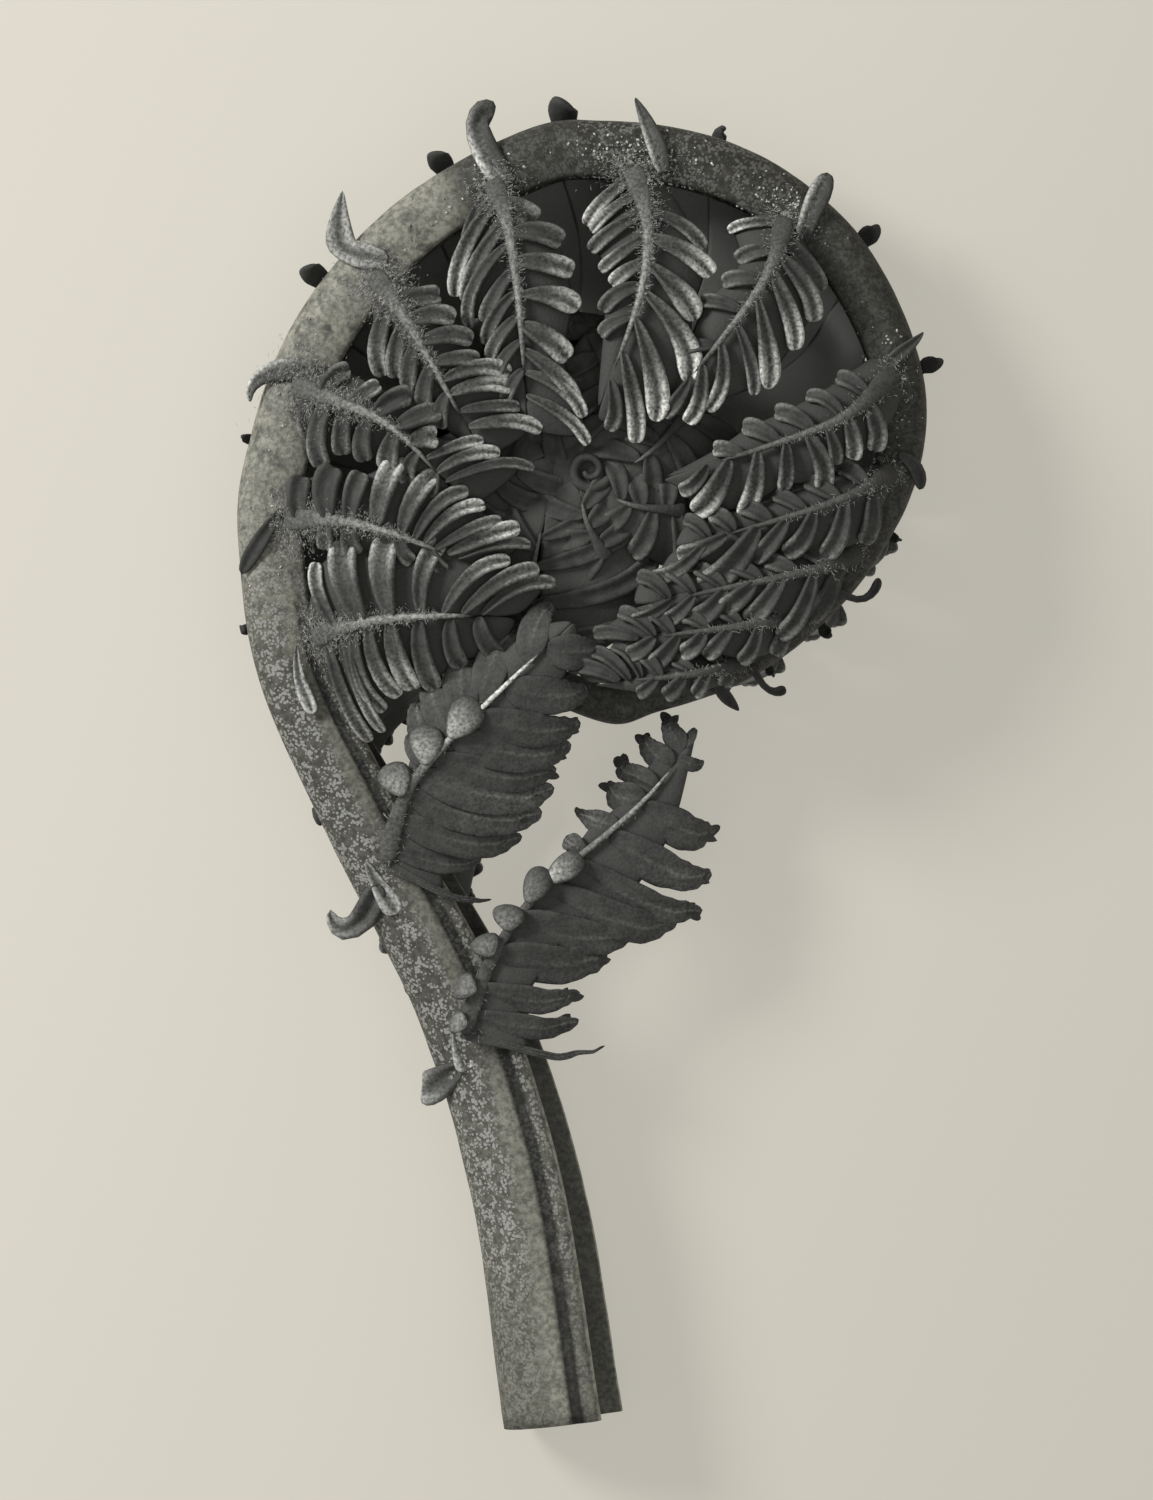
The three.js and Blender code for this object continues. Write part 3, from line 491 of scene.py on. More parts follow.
UPPER_FRONDS = [
    frond(
        [(-15.3, 6.9), (-13.2, 7.7), (-9.3, 8.2), (-5.4, 8.2)], 1,
        [(-16.1, 6.8), (-16.2, 5.4), (-15.7, 4), (-15.2, 2.7)], (TONGUE, 0.9, 0.5, (0.5, 1), 0, 0.7),
        (25, -15, 11.2, 0.9, 60), (41, -13.4, 12.4, 1.5, 45), (54, -10.8, 12.8, 1.45, 55),
        (67, -8, 12.4, 1.25, 65), (77, -4.3, 11.3, 0.9, 75), (86, -2.7, 10.8, 0.9, 35),
        (95, -1.8, 10, 0.8, 30), (14, -12, 1.3, 0.8, 50), (29, -11.3, 1.8, 0.8, 65),
        (36, -11.2, 3, 0.9, 65), (43, -10.4, 3.8, 1.1, 70), (53, -9.6, 4.2, 1.4, 90),
        (66, -8.4, 4.2, 1.1, 25), (81, -7, 5.4, 1.1, 15), (94, -4.9, 6.1, 1, 15),
    ),
    frond(
        [(-16.9, 13.5), (-14, 13.5), (-10.7, 12.7), (-7.2, 11.3)], 0.9,
        [(-16.9, 14.2), (-17.6, 13.2), (-18.3, 12.2), (-18.9, 11.2), (-19.3, 10.4)],
        (SPADE, 1, 0.05, (0.2, 0.4), 0, 0),
        (11, -15.8, 15.9, 1.5, 5), (30, -14, 16.4, 1.7, 5), (42, -12.5, 16.1, 1.3, 10),
        (57, -10.4, 17, 1.3, 70), (70, -8.4, 16.1, 1.25, 80), (77, -6.6, 15.1, 0.8, 40),
        (82, -5.7, 14.3, 0.9, 85), (88, -4.8, 13.5, 0.8, 60), (94, -3.8, 13.1, 0.95, 95),
        (99, -3.2, 12.1, 0.8, 40), (30, -14.5, 11.9, 1, 30), (43, -12.8, 11.6, 1.1, 30),
        (69, -9.7, 11.2, 1, 40), (85, -7.9, 10.7, 0.9, 30),
    ),
    frond(
        [(-16.5, 21), (-13.8, 20), (-10.7, 18.5), (-7.7, 15.2)], 0.95,
        [(-13.6, 21.1), (-15.3, 21.8), (-16.8, 22), (-18.1, 21.7), (-18.8, 20.9), (-18.7, 20)],
        (CLAW, 1.35, 0.6, (0.3, 1), 1, 0.6),
        (23, -13.2, 21.8, 1, 30), (40, -11.5, 20.9, 1, 50), (55, -9.8, 20.3, 1.4, 15),
        (67, -8.2, 19.4, 1.4, 20), (76, -8.4, 18, 1.2, 70), (85, -5.8, 17.9, 0.75, 75),
        (92, -4.9, 17.1, 0.85, 95), (97, -3, 16.3, 0.75, 35), (15, -15.3, 18.1, 1.1, 30),
        (28, -14.6, 16.4, 1.2, 45), (40, -13.5, 17.1, 1.2, 25), (53, -12.3, 16.7, 1.2, 20),
        (68, -11.1, 16.3, 1.1, 35), (81, -10, 15.5, 1, 45), (92, -8.8, 14.8, 0.9, 40),
    ),
    frond(
        [(-12, 27.2), (-10.5, 25.1), (-8.7, 22.1), (-6.5, 18.2)], 0.85,
        [(-11, 27.8), (-12.3, 28.1), (-13.6, 28.4), (-13.85, 29.4), (-13.8, 30.6), (-13.65, 31.9)],
        (HORN, 1.6, 0.45, (0.7, 0.7), 0, 0.7),
        (27, -11.3, 21.4, 1.1, 75), (41, -10.6, 21.3, 1, 50), (53, -9.9, 20.6, 1, 35),
        (67, -9.1, 19.6, 1, 25), (81, -8.2, 18.5, 0.9, 25), (30, -8.2, 25.8, 1.2, 30),
        (43, -7.4, 24.5, 1.2, 45), (56, -6.4, 23.3, 1.1, 40), (67, -6, 22.3, 1, 45),
        (76, -4.3, 21.5, 0.95, 80), (82, -4.2, 20.7, 0.95, 95), (90, -3.8, 19.7, 0.8, 40),
        (97, -2.6, 18.4, 1.05, 95),
    ),
    frond(
        [(-5.4, 32.4), (-4.5, 29.8), (-3.9, 25.7), (-3.5, 20)], 0.8,
        [(-4.5, 31.8), (-5.3, 33.1), (-6, 34.3), (-6.3, 35.4), (-5.85, 36.05), (-5.2, 35.9)],
        (CURL, 1.6, 0.7, (1, 0.2), -1, 0.3),
        (4, -6.8, 28.4, 0.8, 25), (16, -7.4, 25.8, 1, 95), (32, -6.8, 25.5, 0.9, 85),
        (43, -6.6, 24, 0.9, 40), (55, -5.8, 24.3, 0.9, 35), (64, -5.7, 23.1, 0.9, 35),
        (73, -5.5, 22.3, 0.9, 35), (81, -5.1, 20.9, 0.9, 30), (90, -4.7, 20, 0.8, 30),
        (20, -3.1, 29.9, 1.6, 85), (39, -1.5, 28.7, 1.2, 35), (52, -0.9, 27.1, 1.3, 70),
        (66, -0.6, 25, 1.4, 95), (76, -1.2, 22.3, 1.3, 80), (84, -0.7, 19.9, 0.9, 80),
        (91, -0.3, 19.1, 0.9, 95), (98, -0.1, 17.6, 0.8, 85),
    ),
    frond(
        [(2.3, 33.1), (3.2, 29.8), (2.8, 25.7), (0.9, 20.6)], 1,
        [(4.1, 32.6), (3.9, 33.6), (3.4, 34.9), (2.95, 36), (2.5, 37)], (CLAW, 1.1, 0.6, (1, 0.3), -1, 0),
        (6, -0.2, 29.8, 0.75, 95), (15, 0.1, 29.4, 0.75, 90), (28, 0, 28.3, 0.8, 45),
        (40, 0.6, 27.2, 0.8, 40), (51, 1.2, 26.4, 0.9, 75), (62, 0.7, 24.9, 0.9, 30),
        (74, 0.6, 23.6, 0.8, 25), (27, 6.3, 28.4, 0.85, 60), (40, 6.7, 26.9, 1.25, 90),
        (52, 5.8, 24.4, 1.45, 95), (64, 5.4, 20.9, 1.5, 100), (74, 3.6, 18.8, 1.3, 95),
        (86, 2.5, 17.7, 1, 90), (96, 1, 18.4, 0.9, 30),
    ),
    frond(
        [(10.8, 30.4), (10.1, 27.6), (8.4, 24.8), (4.8, 20.4)], 0.6,
        [(11.5, 28.4), (11.9, 29.8), (12.5, 31.2), (13, 32.2), (13.15, 32.9)],
        (SPADE, 1.4, 0.45, (1, 0.6), -1, 0),
        (14, 12.8, 26.1, 1.15, 35), (27, 12.3, 24.4, 1.15, 80), (38, 11.3, 22.8, 1.15, 95),
        (56, 9.8, 20.6, 1.35, 95), (71, 9, 20.3, 0.7, 40), (79, 6.4, 19.5, 1, 85), (88, 5.3, 18.8, 1.1, 80),
        (94, 4, 19.2, 0.9, 20), (7, 7.6, 29.5, 0.65, 75), (25, 8.1, 27.8, 0.9, 30),
        (47, 7.3, 26.5, 0.9, 20), (66, 6.1, 25.5, 0.9, 20), (81, 5.1, 22.9, 0.9, 15),
    ),
    frond(
        [(17, 21.9), (14.5, 19.4), (11.4, 18), (5.4, 16.2)], 0.35,
        [(16.4, 22.1), (17, 22.6), (17.8, 23.3), (18.5, 24)], (CLAW, 0.8, 0.15),
        (24, 15.6, 17.3, 1.1, 65), (38, 14.4, 16.8, 1, 60), (52, 13.5, 16.5, 0.85, 25),
        (63, 12.7, 15.1, 1.1, 65), (71, 10.6, 15.1, 1.05, 50), (80, 8.3, 13.7, 1.2, 85),
        (88, 5.7, 13.9, 1.25, 75), (94, 4.9, 15.1, 1, 40), (22, 13.6, 21.4, 1, 15), (40, 11.9, 20.3, 1, 15),
        (59, 10.2, 19.4, 1, 15), (73, 8.4, 18.6, 1, 20), (84, 6.8, 17.4, 1, 50),
    ),
    frond(
        [(16.9, 16.4), (15.2, 15.2), (12, 13.9), (6.1, 12.3)], 0.3,
        [(17, 17.2), (17.8, 16.8), (18.3, 15.9), (18.2, 15.1)], (SPADE, 0.9, 0.1),
        (29, 15, 12.2, 1.1, 30), (48, 12.8, 11.4, 1.1, 40), (64, 10.6, 11.7, 1.1, 40),
        (74, 8.9, 11.3, 1.1, 30), (83, 6, 9.8, 1.5, 60), (92, 4.8, 11.6, 1.1, 75), (98, 3.3, 10.4, 0.8, 55),
        (31, 13.7, 16.4, 1, 15), (51, 11.9, 15.6, 1, 15), (67, 10.1, 14.9, 1, 15), (79, 8.2, 14.2, 1, 20),
        (90, 6.6, 13.8, 1, 30), (97, 5.2, 13.5, 0.9, 15),
    ),
    frond(
        [(15, 11.9), (13.1, 10.9), (9.4, 10.1), (3.9, 9)], 0.25,
        [(13.6, 9.7), (14.4, 9.15), (15.1, 9.1), (15.75, 9.6), (16, 10.4)], (POD, 0.6, 0.05),
        (24, 11.9, 8, 1.1, 30), (42, 10.3, 7.1, 1.1, 35), (57, 8.6, 7.9, 1.1, 50), (69, 7.1, 8.5, 1.1, 65),
        (79, 5.4, 8.1, 1.1, 35), (89, 3.8, 7.9, 1, 35), (96, 2.3, 8, 0.9, 30), (31, 11.6, 12, 1, 15),
        (50, 9.6, 11.3, 1, 15), (66, 7.7, 11, 1, 15), (79, 5.8, 10.9, 1, 20), (89, 4.2, 10.8, 0.9, 15),
        (97, 2.6, 10.4, 0.9, 15),
    ),
    frond(
        [(11.9, 8.5), (10, 7.9), (7.2, 7.5), (2.6, 6.9)], 0.25,
        [(8.9, 5.6), (9.3, 4.7), (9.8, 4.1), (10.4, 4.05), (10.85, 4.35)], (POD, 0.62, 0.05),
        (20, 10.1, 6.1, 1, 35), (43, 8.2, 5.7, 1, 35), (61, 6.3, 6, 1, 40), (74, 5, 6.2, 1, 45),
        (84, 3.3, 5.6, 1, 40), (93, 2, 6.1, 0.9, 30), (29, 8.7, 9, 0.9, 15), (55, 6.9, 8.6, 0.9, 15),
        (72, 5, 8.2, 0.9, 20), (86, 3.1, 8.6, 0.9, 20), (93, 1.6, 8.4, 0.9, 15), (99, 0.2, 7.2, 0.9, 15),
    ),
    frond(
        [(8.6, 5.9), (7.2, 5.3), (4.9, 4.9), (1.6, 4.6)], 0.2,
        [(6.9, 4.8), (7.4, 3.9), (7.9, 3.4), (8.3, 3)], (CLAW, 0.8, 0.05),
        (21, 7.3, 4.4, 0.9, 40), (45, 5.7, 3.9, 0.9, 35), (63, 4.1, 3.8, 0.9, 30), (79, 2.6, 3.9, 0.8, 30),
        (28, 6.2, 6.3, 0.8, 15), (55, 4.6, 5.8, 0.8, 15), (77, 2.6, 6.2, 0.8, 15), (88, 1.2, 6.6, 0.8, 15),
        (94, 0.1, 6.3, 0.8, 15), (99, -1.2, 5.4, 0.9, 15),
    ),
]


LEAF_LAYERS = ("ridge", "tip", "down", "web_painted_light")


def leaf_material(name, dark, inside):
    """A dark leaf, with pale down left on the leaflets' ridges, and most towards their tips, partly as
    painted highlight.
    Its webs are painted lighter, as painted light that offsets the shade they lie in.
    """
    material, tree, shader = new_material(name, 0.65, 0.1)
    ridge, tip, down, web_painted_light = (carried(tree, layer) for layer in LEAF_LAYERS)
    patches, _ = mottled(tree, PATCH, 0.35, 0.7)
    fuzz, grain = mottled(tree, LEAF_GRAIN, 0.36, 0.66)
    # Paler towards the tips: partly real down and partly painted highlight.
    outer = stepped(tree, tip, 0.32, 0.97, 0.03, 1.0)
    pale = times(tree, times(tree, stepped(tree, ridge, 0.1, 0.9), outer), down)
    worn = reckoned(tree, "SUBTRACT", times(tree, fuzz, 0.9), times(tree, patches, 0.3))
    worn = reckoned(tree, "ADD", worn, 0.45)
    colour = mixed(tree, patches, grey(dark), grey(dark * 1.75))
    # The webs take the lighter colour given as inside: painted light that offsets the shade they lie in.
    colour = mixed(tree, web_painted_light, colour, grey(inside))
    bloom = times(tree, times(tree, fuzz, down), reckoned(tree, "ADD", outer, 0.3))
    colour = mixed(tree, times(tree, bloom, 0.8), colour, grey(0.24))
    colour = mixed(tree, times(tree, pale, worn, True), colour, grey(0.85))
    surfaced(tree, shader, colour, grain, 0.7, LEAF_RELIEF)
    return material


leaf = leaf_material("leaflet", 0.03, 0.048)


def leaf_layers(bm):
    floats = bm.verts.layers.float
    return [floats.get(name) or floats.new(name) for name in LEAF_LAYERS]


def drawn(bm, section, form, line, width, height, down, roll=0, pale=(0, 1), full=0, lit=0, lump=LUMP):
    """A closed section drawn along a line, its size following the form's stations."""
    ridge, tip, downy, _ = leaf_layers(bm)
    around, stations = len(section), len(form) - 1
    grid = bmesh.ops.create_grid(bm, x_segments=around, y_segments=stations, size=1)
    frames = []
    for t, *_ in form:
        along = heading(line, t)
        side = UP.cross(along).normalized()
        turned = Matrix.Rotation(roll, 3, along)
        frames.append((course(line, t), turned @ side, turned @ along.cross(side)))
    for vert in grid["verts"]:
        k = round((vert.co.x + 1) / 2 * around) % around
        j = round((vert.co.y + 1) / 2 * stations)
        across, rise, crest = section[k]
        t, wide, tall, closing = form[j]
        if rise > 0:
            rise += (JOINED_RISE - rise) * closing
            crest += (JOINED_CREST - crest) * max(closing, full)
        centre, side, lift = frames[j]
        vert.co = centre + side * (-across * width * wide) + lift * (rise * height * tall)
        if wide:
            vert.co += noise.noise_vector(vert.co * LUMP_PACE) * lump
        # A lit piece keeps its down and pale ridges only on the side towards the light. The far side is
        # painted shade.
        painted_shade = UNLIT if lit * across < 0 else 1.0
        vert[ridge], vert[downy] = crest * painted_shade, down * painted_shade
        vert[tip] = pale[j] if len(pale) == len(form) else pale[0] + (pale[1] - pale[0]) * t
    bmesh.ops.remove_doubles(bm, verts=grid["verts"], dist=MERGE)


def leaflet_line(rib, share, x, y, drop, lift, bow=0.1):
    """From a leaflet's place on the midrib to its tip, arched over and sunk at the end, and its hand."""
    root = course(rib, share) - UP * lift
    away = Vector((x, y, 0)) - root
    away.z = 0
    reach = away.length
    hand = 1 if heading(rib, share).cross(away).z > 0 else -1
    sink = 2 * drop * reach ** 2 / (reach ** 2 + REACH ** 2)
    aside = Vector((-away.y, away.x, 0)) * (hand * bow)
    line = [
        root + away * way + aside * swing + UP * (rise - sunk * sink) for way, swing, rise, sunk in ARCH
    ]
    return hand, [root, *line, root + away - UP * sink]


def web(bm, rib, lines, share, sunk, beyond=1.8, down=0.15, behind=0.0, spread=0.25):
    """The thin blade below the leaflets: on each side of the midrib it follows their lines for a share."""
    _, _, downy, web_painted_light = leaf_layers(bm)
    ways = (0, *(way for way, *_ in ARCH), 1)
    last = [rib[-1] + heading(rib, 1) * (beyond * way) - UP * (WEB_DIP * way * way) for way in ways]
    back = heading(rib, 0) * behind
    for hand in (1, -1):
        own = [(place, line) for side, place, line in lines if side == hand]
        if not own:
            continue
        start = own[0][1]
        first = [rib[0] - back + (point - start[0]) * spread for point in start]
        places = [0.0] + [place for place, _ in own] + [1.0]
        rows = [first] + [line for _, line in own] + [last]
        columns = [[course(row, share * j / WEB_HALF) for row in rows] for j in range(WEB_HALF + 1)]
        steps = 2 * max(WEB_ROWS, len(rows))
        grid = bmesh.ops.create_grid(bm, x_segments=2 * WEB_HALF, y_segments=steps, size=1)
        for vert in grid["verts"]:
            k = round((vert.co.x + 1) * WEB_HALF)
            j = WEB_HALF - abs(k - WEB_HALF)
            t = (vert.co.y + 1) / 2
            i = min(int(t * (len(rows) - 1)), len(rows) - 2)
            along = places[i] + (places[i + 1] - places[i]) * (t * (len(rows) - 1) - i)
            under = UP.cross(heading(rib, along)) * (hand * SEAM * min(1, TIP_PACE * (1 - t)))
            root = course(rib, along) - under - back * max(0, 1 - FOOT_PACE * t)
            root.z = course(columns[0], t).z
            thick = WEB_THICK * math.sin(math.pi * j / WEB_HALF)
            vert.co = course(columns[j], t) + (root - course(columns[0], t)) * (1 - j / WEB_HALF)
            vert.co += UP * ((thick if k > WEB_HALF else -thick) / 2 - sunk)
            # The web is marked for its lighter colour, painted light that offsets the shade it lies in.
            vert[downy], vert[web_painted_light] = down, 1.0
        bmesh.ops.remove_doubles(bm, verts=grid["verts"], dist=MERGE)
    bmesh.ops.holes_fill(bm, edges=[e for e in bm.edges if e.is_boundary], sides=0)


def base_height(x, y):
    return half_breadth(course(back_line, nearest_on_stalk(x, y))[3]) + GAP + BLADE * 0.7


def rib_line(rib):
    heights = (base_height(*rib[0]), CREST - SHOULDER_DIP, CREST, PINNA_TIP)
    return [Vector((x, y, MID + h)) for (x, y), h in zip(rib, heights)]


def flank_share(v):
    """How far out the stem's flank is at v of its depth, in shares of half its breadth."""
    for a, b in zip(HALF_SECTION[:14], HALF_SECTION[1:15]):
        if a[1] <= v <= b[1]:
            return a[0] + (b[0] - a[0]) * (v - a[1]) / (b[1] - a[1])
    return RIM_SHARE


def laid_over(points, clear):
    """A hook's plan brought up onto the stem's flank, and out past its back at about the same height."""
    line = []
    for x, y in points:
        t = nearest_on_stalk(x, y)
        back, inward, _, depth, _ = stalk_frame(t)
        v = (Vector((x, y, back.z)) - back).dot(inward) / depth
        held = min(max(v, HOOK_NEAR), 1.0)
        height = on_stalk(t, flank_share(held), held).z + clear - max(0, -v) * depth * HOOK_FALL
        line.append(Vector((x, y, height)))
    return line


hair_beds = []  # midribs that bear down: line, how thick it is, which face
WOOL = {3: 1.6, 4: 1.9, 5: 2.5, 6: 2.3, 7: 1.2, 8: 1.4}  # the woollier ones


def shares(entries):
    """The leaflets in their order along the midrib, with shares for percents."""
    return [(place / 100, x, y, width, down / 100) for place, x, y, width, down in sorted(entries)]


def head_hook(bm, line, form, width, down, pale=(0.5, 0.5), lit=0, full=0):
    width *= LEAFLET_SWELL
    drawn(bm, LEAFLET_SECTION, form, line, width, width * 0.4, down, pale=pale, full=full, lit=lit)


def upper_frond(number, spec):
    luck = random.Random(number)
    bm = bmesh.new()
    rib = rib_line(spec["rib"])
    worn = 0.6 if number > OLDER else 1.0
    drawn(bm, RIB_SECTION, MIDRIB, rib, RIB_WIDTH, RIB_WIDTH * 0.9, spec["down"] * worn, pale=RIB_PALE)
    lines = []
    for share, x, y, width, down in shares(spec["leaflets"]):
        fore = heading(rib, share).cross(Vector((x, y, 0)) - course(rib, share)).z > 0
        drop, lift = (LEAFLET_DROP * 0.75, 0.05) if fore else (LEAFLET_DROP * 1.15, 0.2)
        hand, line = leaflet_line(rib, share, x, y, drop, lift, luck.uniform(0.04, 0.16))
        lines.append((hand, share, line))
        form = PADDLE if width >= 1.3 and down >= 0.95 else FINGER
        girth = width * LEAFLET_SWELL * luck.uniform(0.9, 1.12)
        roll = math.radians(luck.uniform(2, 30)) * -hand
        full = max(0, down - 0.4) * 1.3
        down *= luck.uniform(0.55, 1.05) * worn
        drawn(bm, LEAFLET_SECTION, form, line, girth, girth * LEAFLET_PLUMP, down, roll, full=full)
    web(bm, rib, lines, 0.95, 0.5, spread=0.75 if 7 <= number <= OLDER else 0.25)
    head_hook(bm, laid_over(spec["hook"], HOOK_CLEAR), *spec["look"])
    hair_beds.append((rib, WOOL.get(number, spec["down"]), 1))
    finished(f"side_frond_upper_{number:02d}", bm, [leaf], [f"pinna_front_{number:02d}"], 1)


for i, spec in enumerate(UPPER_FRONDS):
    upper_frond(i + 3, spec)

# ---- The two free side fronds ----
# Low on the stem two side fronds have begun to spread: their lobes are joined for half their length, and
# those along the upper edge are still rolled up into pale knobs.
LOBE_DROP, LOBE_THICK = 1.1, 0.34
LOBE_SECTION = [  # a thin pleated blade: margins, folds and a low vein along its middle
    (-0.5, 0, 0.2), (-0.3, 0.3, 0.1), (-0.12, 0.05, 0), (0, 0.3, 0.5), (0.12, 0.05, 0), (0.3, 0.3, 0.1),
    (0.5, 0, 0.2), (0.3, -0.3, 0), (-0.3, -0.3, 0),
]
# Toothed along its outer half.
LOBE = pointed(
    (0.04, 0.6, 0.8, 0), (0.25, 1.05, 1, 0), (0.45, 1.05, 1, 0), (0.56, 1, 1, 0), (0.6, 0.84, 1, 0),
    (0.7, 0.88, 1, 0), (0.74, 0.66, 1, 0), (0.83, 0.7, 0.9, 0), (0.86, 0.44, 0.8, 0),
    (0.94, 0.42, 0.7, 0), joined=0,
)
TOOTH = pointed((0.1, 1, 1, 0), (0.6, 0.6, 0.7, 0), joined=0)
KNOB_FORM = pointed(
    (0.08, 0.35, 0.6, 0), (0.3, 0.85, 0.9, 0.3), (0.55, 1.1, 1, 0.6), (0.8, 1.05, 1, 0.9),
    (0.95, 0.6, 0.7, 1),
)
FOLDED = 1.4  # the lobes wider than this have teeth at their tips too
# The blade is how far the lobes are joined; swell and lump are how full and how crumpled they are.
FREE_FRONDS = [
    dict(
        name="free_side_frond_low", node="pinna_front_01", blade=0.46, swell=1.02, lump=0.26,
        hook=[(-7, -16.4), (-7.7, -17.2), (-8.4, -17.7), (-9, -18), (-9.35, -18)],
        hook_form=FRILL, hook_width=1.9, rib_pale=(0.1, 0.9), rib_down=0.5,
        rib=[(-7, -15.1, 6.9), (-5.5, -10.7, 7.2), (-2.5, -6.5, 6.8), (2.6, -2.6, 6.2), (5.6, 1.3, 5.6)],
        wedge=[(-7.5, -14.6), (-7.3, -15.3), (-7, -16.2), (-6.7, -17)],
        lobes=[
            (3, 1, -15.5, 0.5, 20), (8, -0.5, -14, 1.6, 15), (16, -0.4, -12.5, 1.8, 20),
            (27, 1.1, -10.3, 2.6, 15), (38, 2.6, -9.1, 2.6, 15), (49, 5, -8.7, 2.6, 15),
            (58, 6.4, -8, 2.2, 15), (67, 6.9, -6.1, 2.3, 20), (77, 7.1, -3.7, 2.4, 15),
            (93, 6.4, 0.3, 0.9, 15), (98, 5.9, 2, 0.9, 15), (62, -1.35, -3.9, 1.35, 40),
            (70, -0.8, -2.3, 1.4, 40), (79, 0.9, -1.1, 1.9, 20), (84, 1.7, 0.3, 1.6, 20),
            (92, 2.9, 1.6, 1.6, 20), (97, 4.4, 2.8, 1.5, 20),
        ],
        knobs=[
            (4, -7.4, -14.1, 1.3, 80), (15, -7, -12.1, 1.5, 60), (26, -5.8, -9.7, 1.6, 45),
            (34, -4.4, -8.1, 1.7, 45), (43, -2.7, -6.2, 1.5, 30), (50, -1, -5.4, 1.4, 75),
        ],
    ),
    dict(
        name="free_side_frond_high", node="pinna_front_02", blade=0.56, swell=1.12, lump=0.12,
        hook=[(-11.6, -6.4), (-12, -7.6), (-12.6, -8.9), (-13.6, -9.3), (-14.3, -8.7), (-14.35, -7.7)],
        hook_form=COMMA, hook_width=1.75, rib_pale=(0.1, 1), rib_down=1,
        rib=[(-11.3, -5.7, 7.4), (-10.2, -1.6, 8.6), (-8.2, 0.9, 9.2), (-5.5, 3.6, 9.6), (-1.2, 7.6, 9.6)],
        wedge=[(-12.4, -5.2), (-11.9, -6.2), (-11.2, -7.3), (-10.6, -8.3)],
        lobes=[
            (3, -5.3, -7.4, 0.5, 20), (7, -5.9, -5.1, 1.2, 15), (16, -3.6, -3.9, 1.9, 15),
            (26, -2.5, -2.5, 2.3, 25), (35, -1.8, -1.2, 2.2, 25), (45, -1.7, -0.1, 2, 15),
            (56, -0.9, 1.2, 2.2, 15), (68, -0.4, 2.4, 2.1, 15), (80, 0, 4.3, 2.2, 15),
            (93, 0.6, 6.6, 2, 15), (72, -3.9, 7.6, 2, 15), (88, -2, 9, 1.8, 15), (40, -9.8, 1.9, 1, 15),
            (49, -9.5, 3.5, 1.7, 15), (57, -8.6, 5, 1.9, 15), (65, -6.6, 6.4, 2, 15),
        ],
        knobs=[
            (24, -10.8, -0.4, 1.75, 75), (40, -8.9, 1.6, 1.8, 80), (55, -6.6, 3, 1.9, 65),
        ],
    ),
]


def knob(bm, rib, share, x, y, width, down):
    """A lobe still rolled up: it rises beside the midrib and curls back over itself."""
    root = course(rib, share) + UP * 0.2
    away = Vector((x, y, root.z)) - root
    line = [root, root + away * 0.5 + UP * 0.2, root + away * 0.95 + UP * 0.2, root + away * 1.4 - UP * 0.1]
    drawn(bm, RIB_SECTION, KNOB_FORM, line, width * 1.2, width * 0.5, down * 0.55, pale=(1, 0.35), full=0.6)


def teeth(bm, luck, line, width, lump):
    for side in (-1, 1):
        start = course(line, luck.uniform(0.7, 0.88))
        way = heading(line, 0.9)
        way.rotate(Matrix.Rotation(side * luck.uniform(0.35, 0.8), 3, "Z"))
        start += way * (width * 0.18)
        spike = [start - way * 0.3, start + way * 0.3, start + way * luck.uniform(0.6, 1.05) - UP * 0.1]
        drawn(bm, LOBE_SECTION, TOOTH, spike, 0.85, 0.35, 0.1, lump=lump)


def free_frond(spec):
    luck = random.Random(spec["name"])
    bm = bmesh.new()
    rib = [Vector(point) for point in spec["rib"]]
    drawn(bm, RIB_SECTION, MIDRIB, rib, 0.5, 0.4, spec["rib_down"], pale=spec["rib_pale"])
    lines, lump = [], spec["lump"]
    for share, x, y, width, down in shares(spec["lobes"]):
        hand, line = leaflet_line(rib, share, x, y, LOBE_DROP, 0.15)
        lines.append((hand, share, line))
        roll = math.radians(luck.uniform(6, 20)) * -hand
        full, thick = width * spec["swell"], max(LOBE_THICK, width * 0.15)
        drawn(bm, LOBE_SECTION, LOBE, line, full, thick, down * 1.6, roll, (0.3, 0.9), lump=lump)
        if width > FOLDED:
            teeth(bm, luck, line, width, lump)
    web(bm, rib, lines, spec["blade"], 0.15, 1.0, 0.2)
    for entry in shares(spec["knobs"]):
        knob(bm, rib, *entry)
    width = spec["hook_width"] * LEAFLET_SWELL
    hook, wedge = laid_over(spec["hook"], HOOK_CLEAR), laid_over(spec["wedge"], 0.3)
    drawn(bm, LEAFLET_SECTION, spec["hook_form"], hook, width, width * 0.5, 0.45, pale=(0.2, 0.8), full=0.3)
    drawn(bm, LEAFLET_SECTION, TONGUE, wedge, 1.5, 0.6, 0.45, pale=(0.6, 0.9), full=0.6)
    hair_beds.append((rib, 0.12, 1))
    finished(spec["name"], bm, [free_leaf], [spec["node"]], 1)


free_leaf = leaf_material("free leaflet", 0.034, 0.055)
for spec in FREE_FRONDS:
    free_frond(spec)

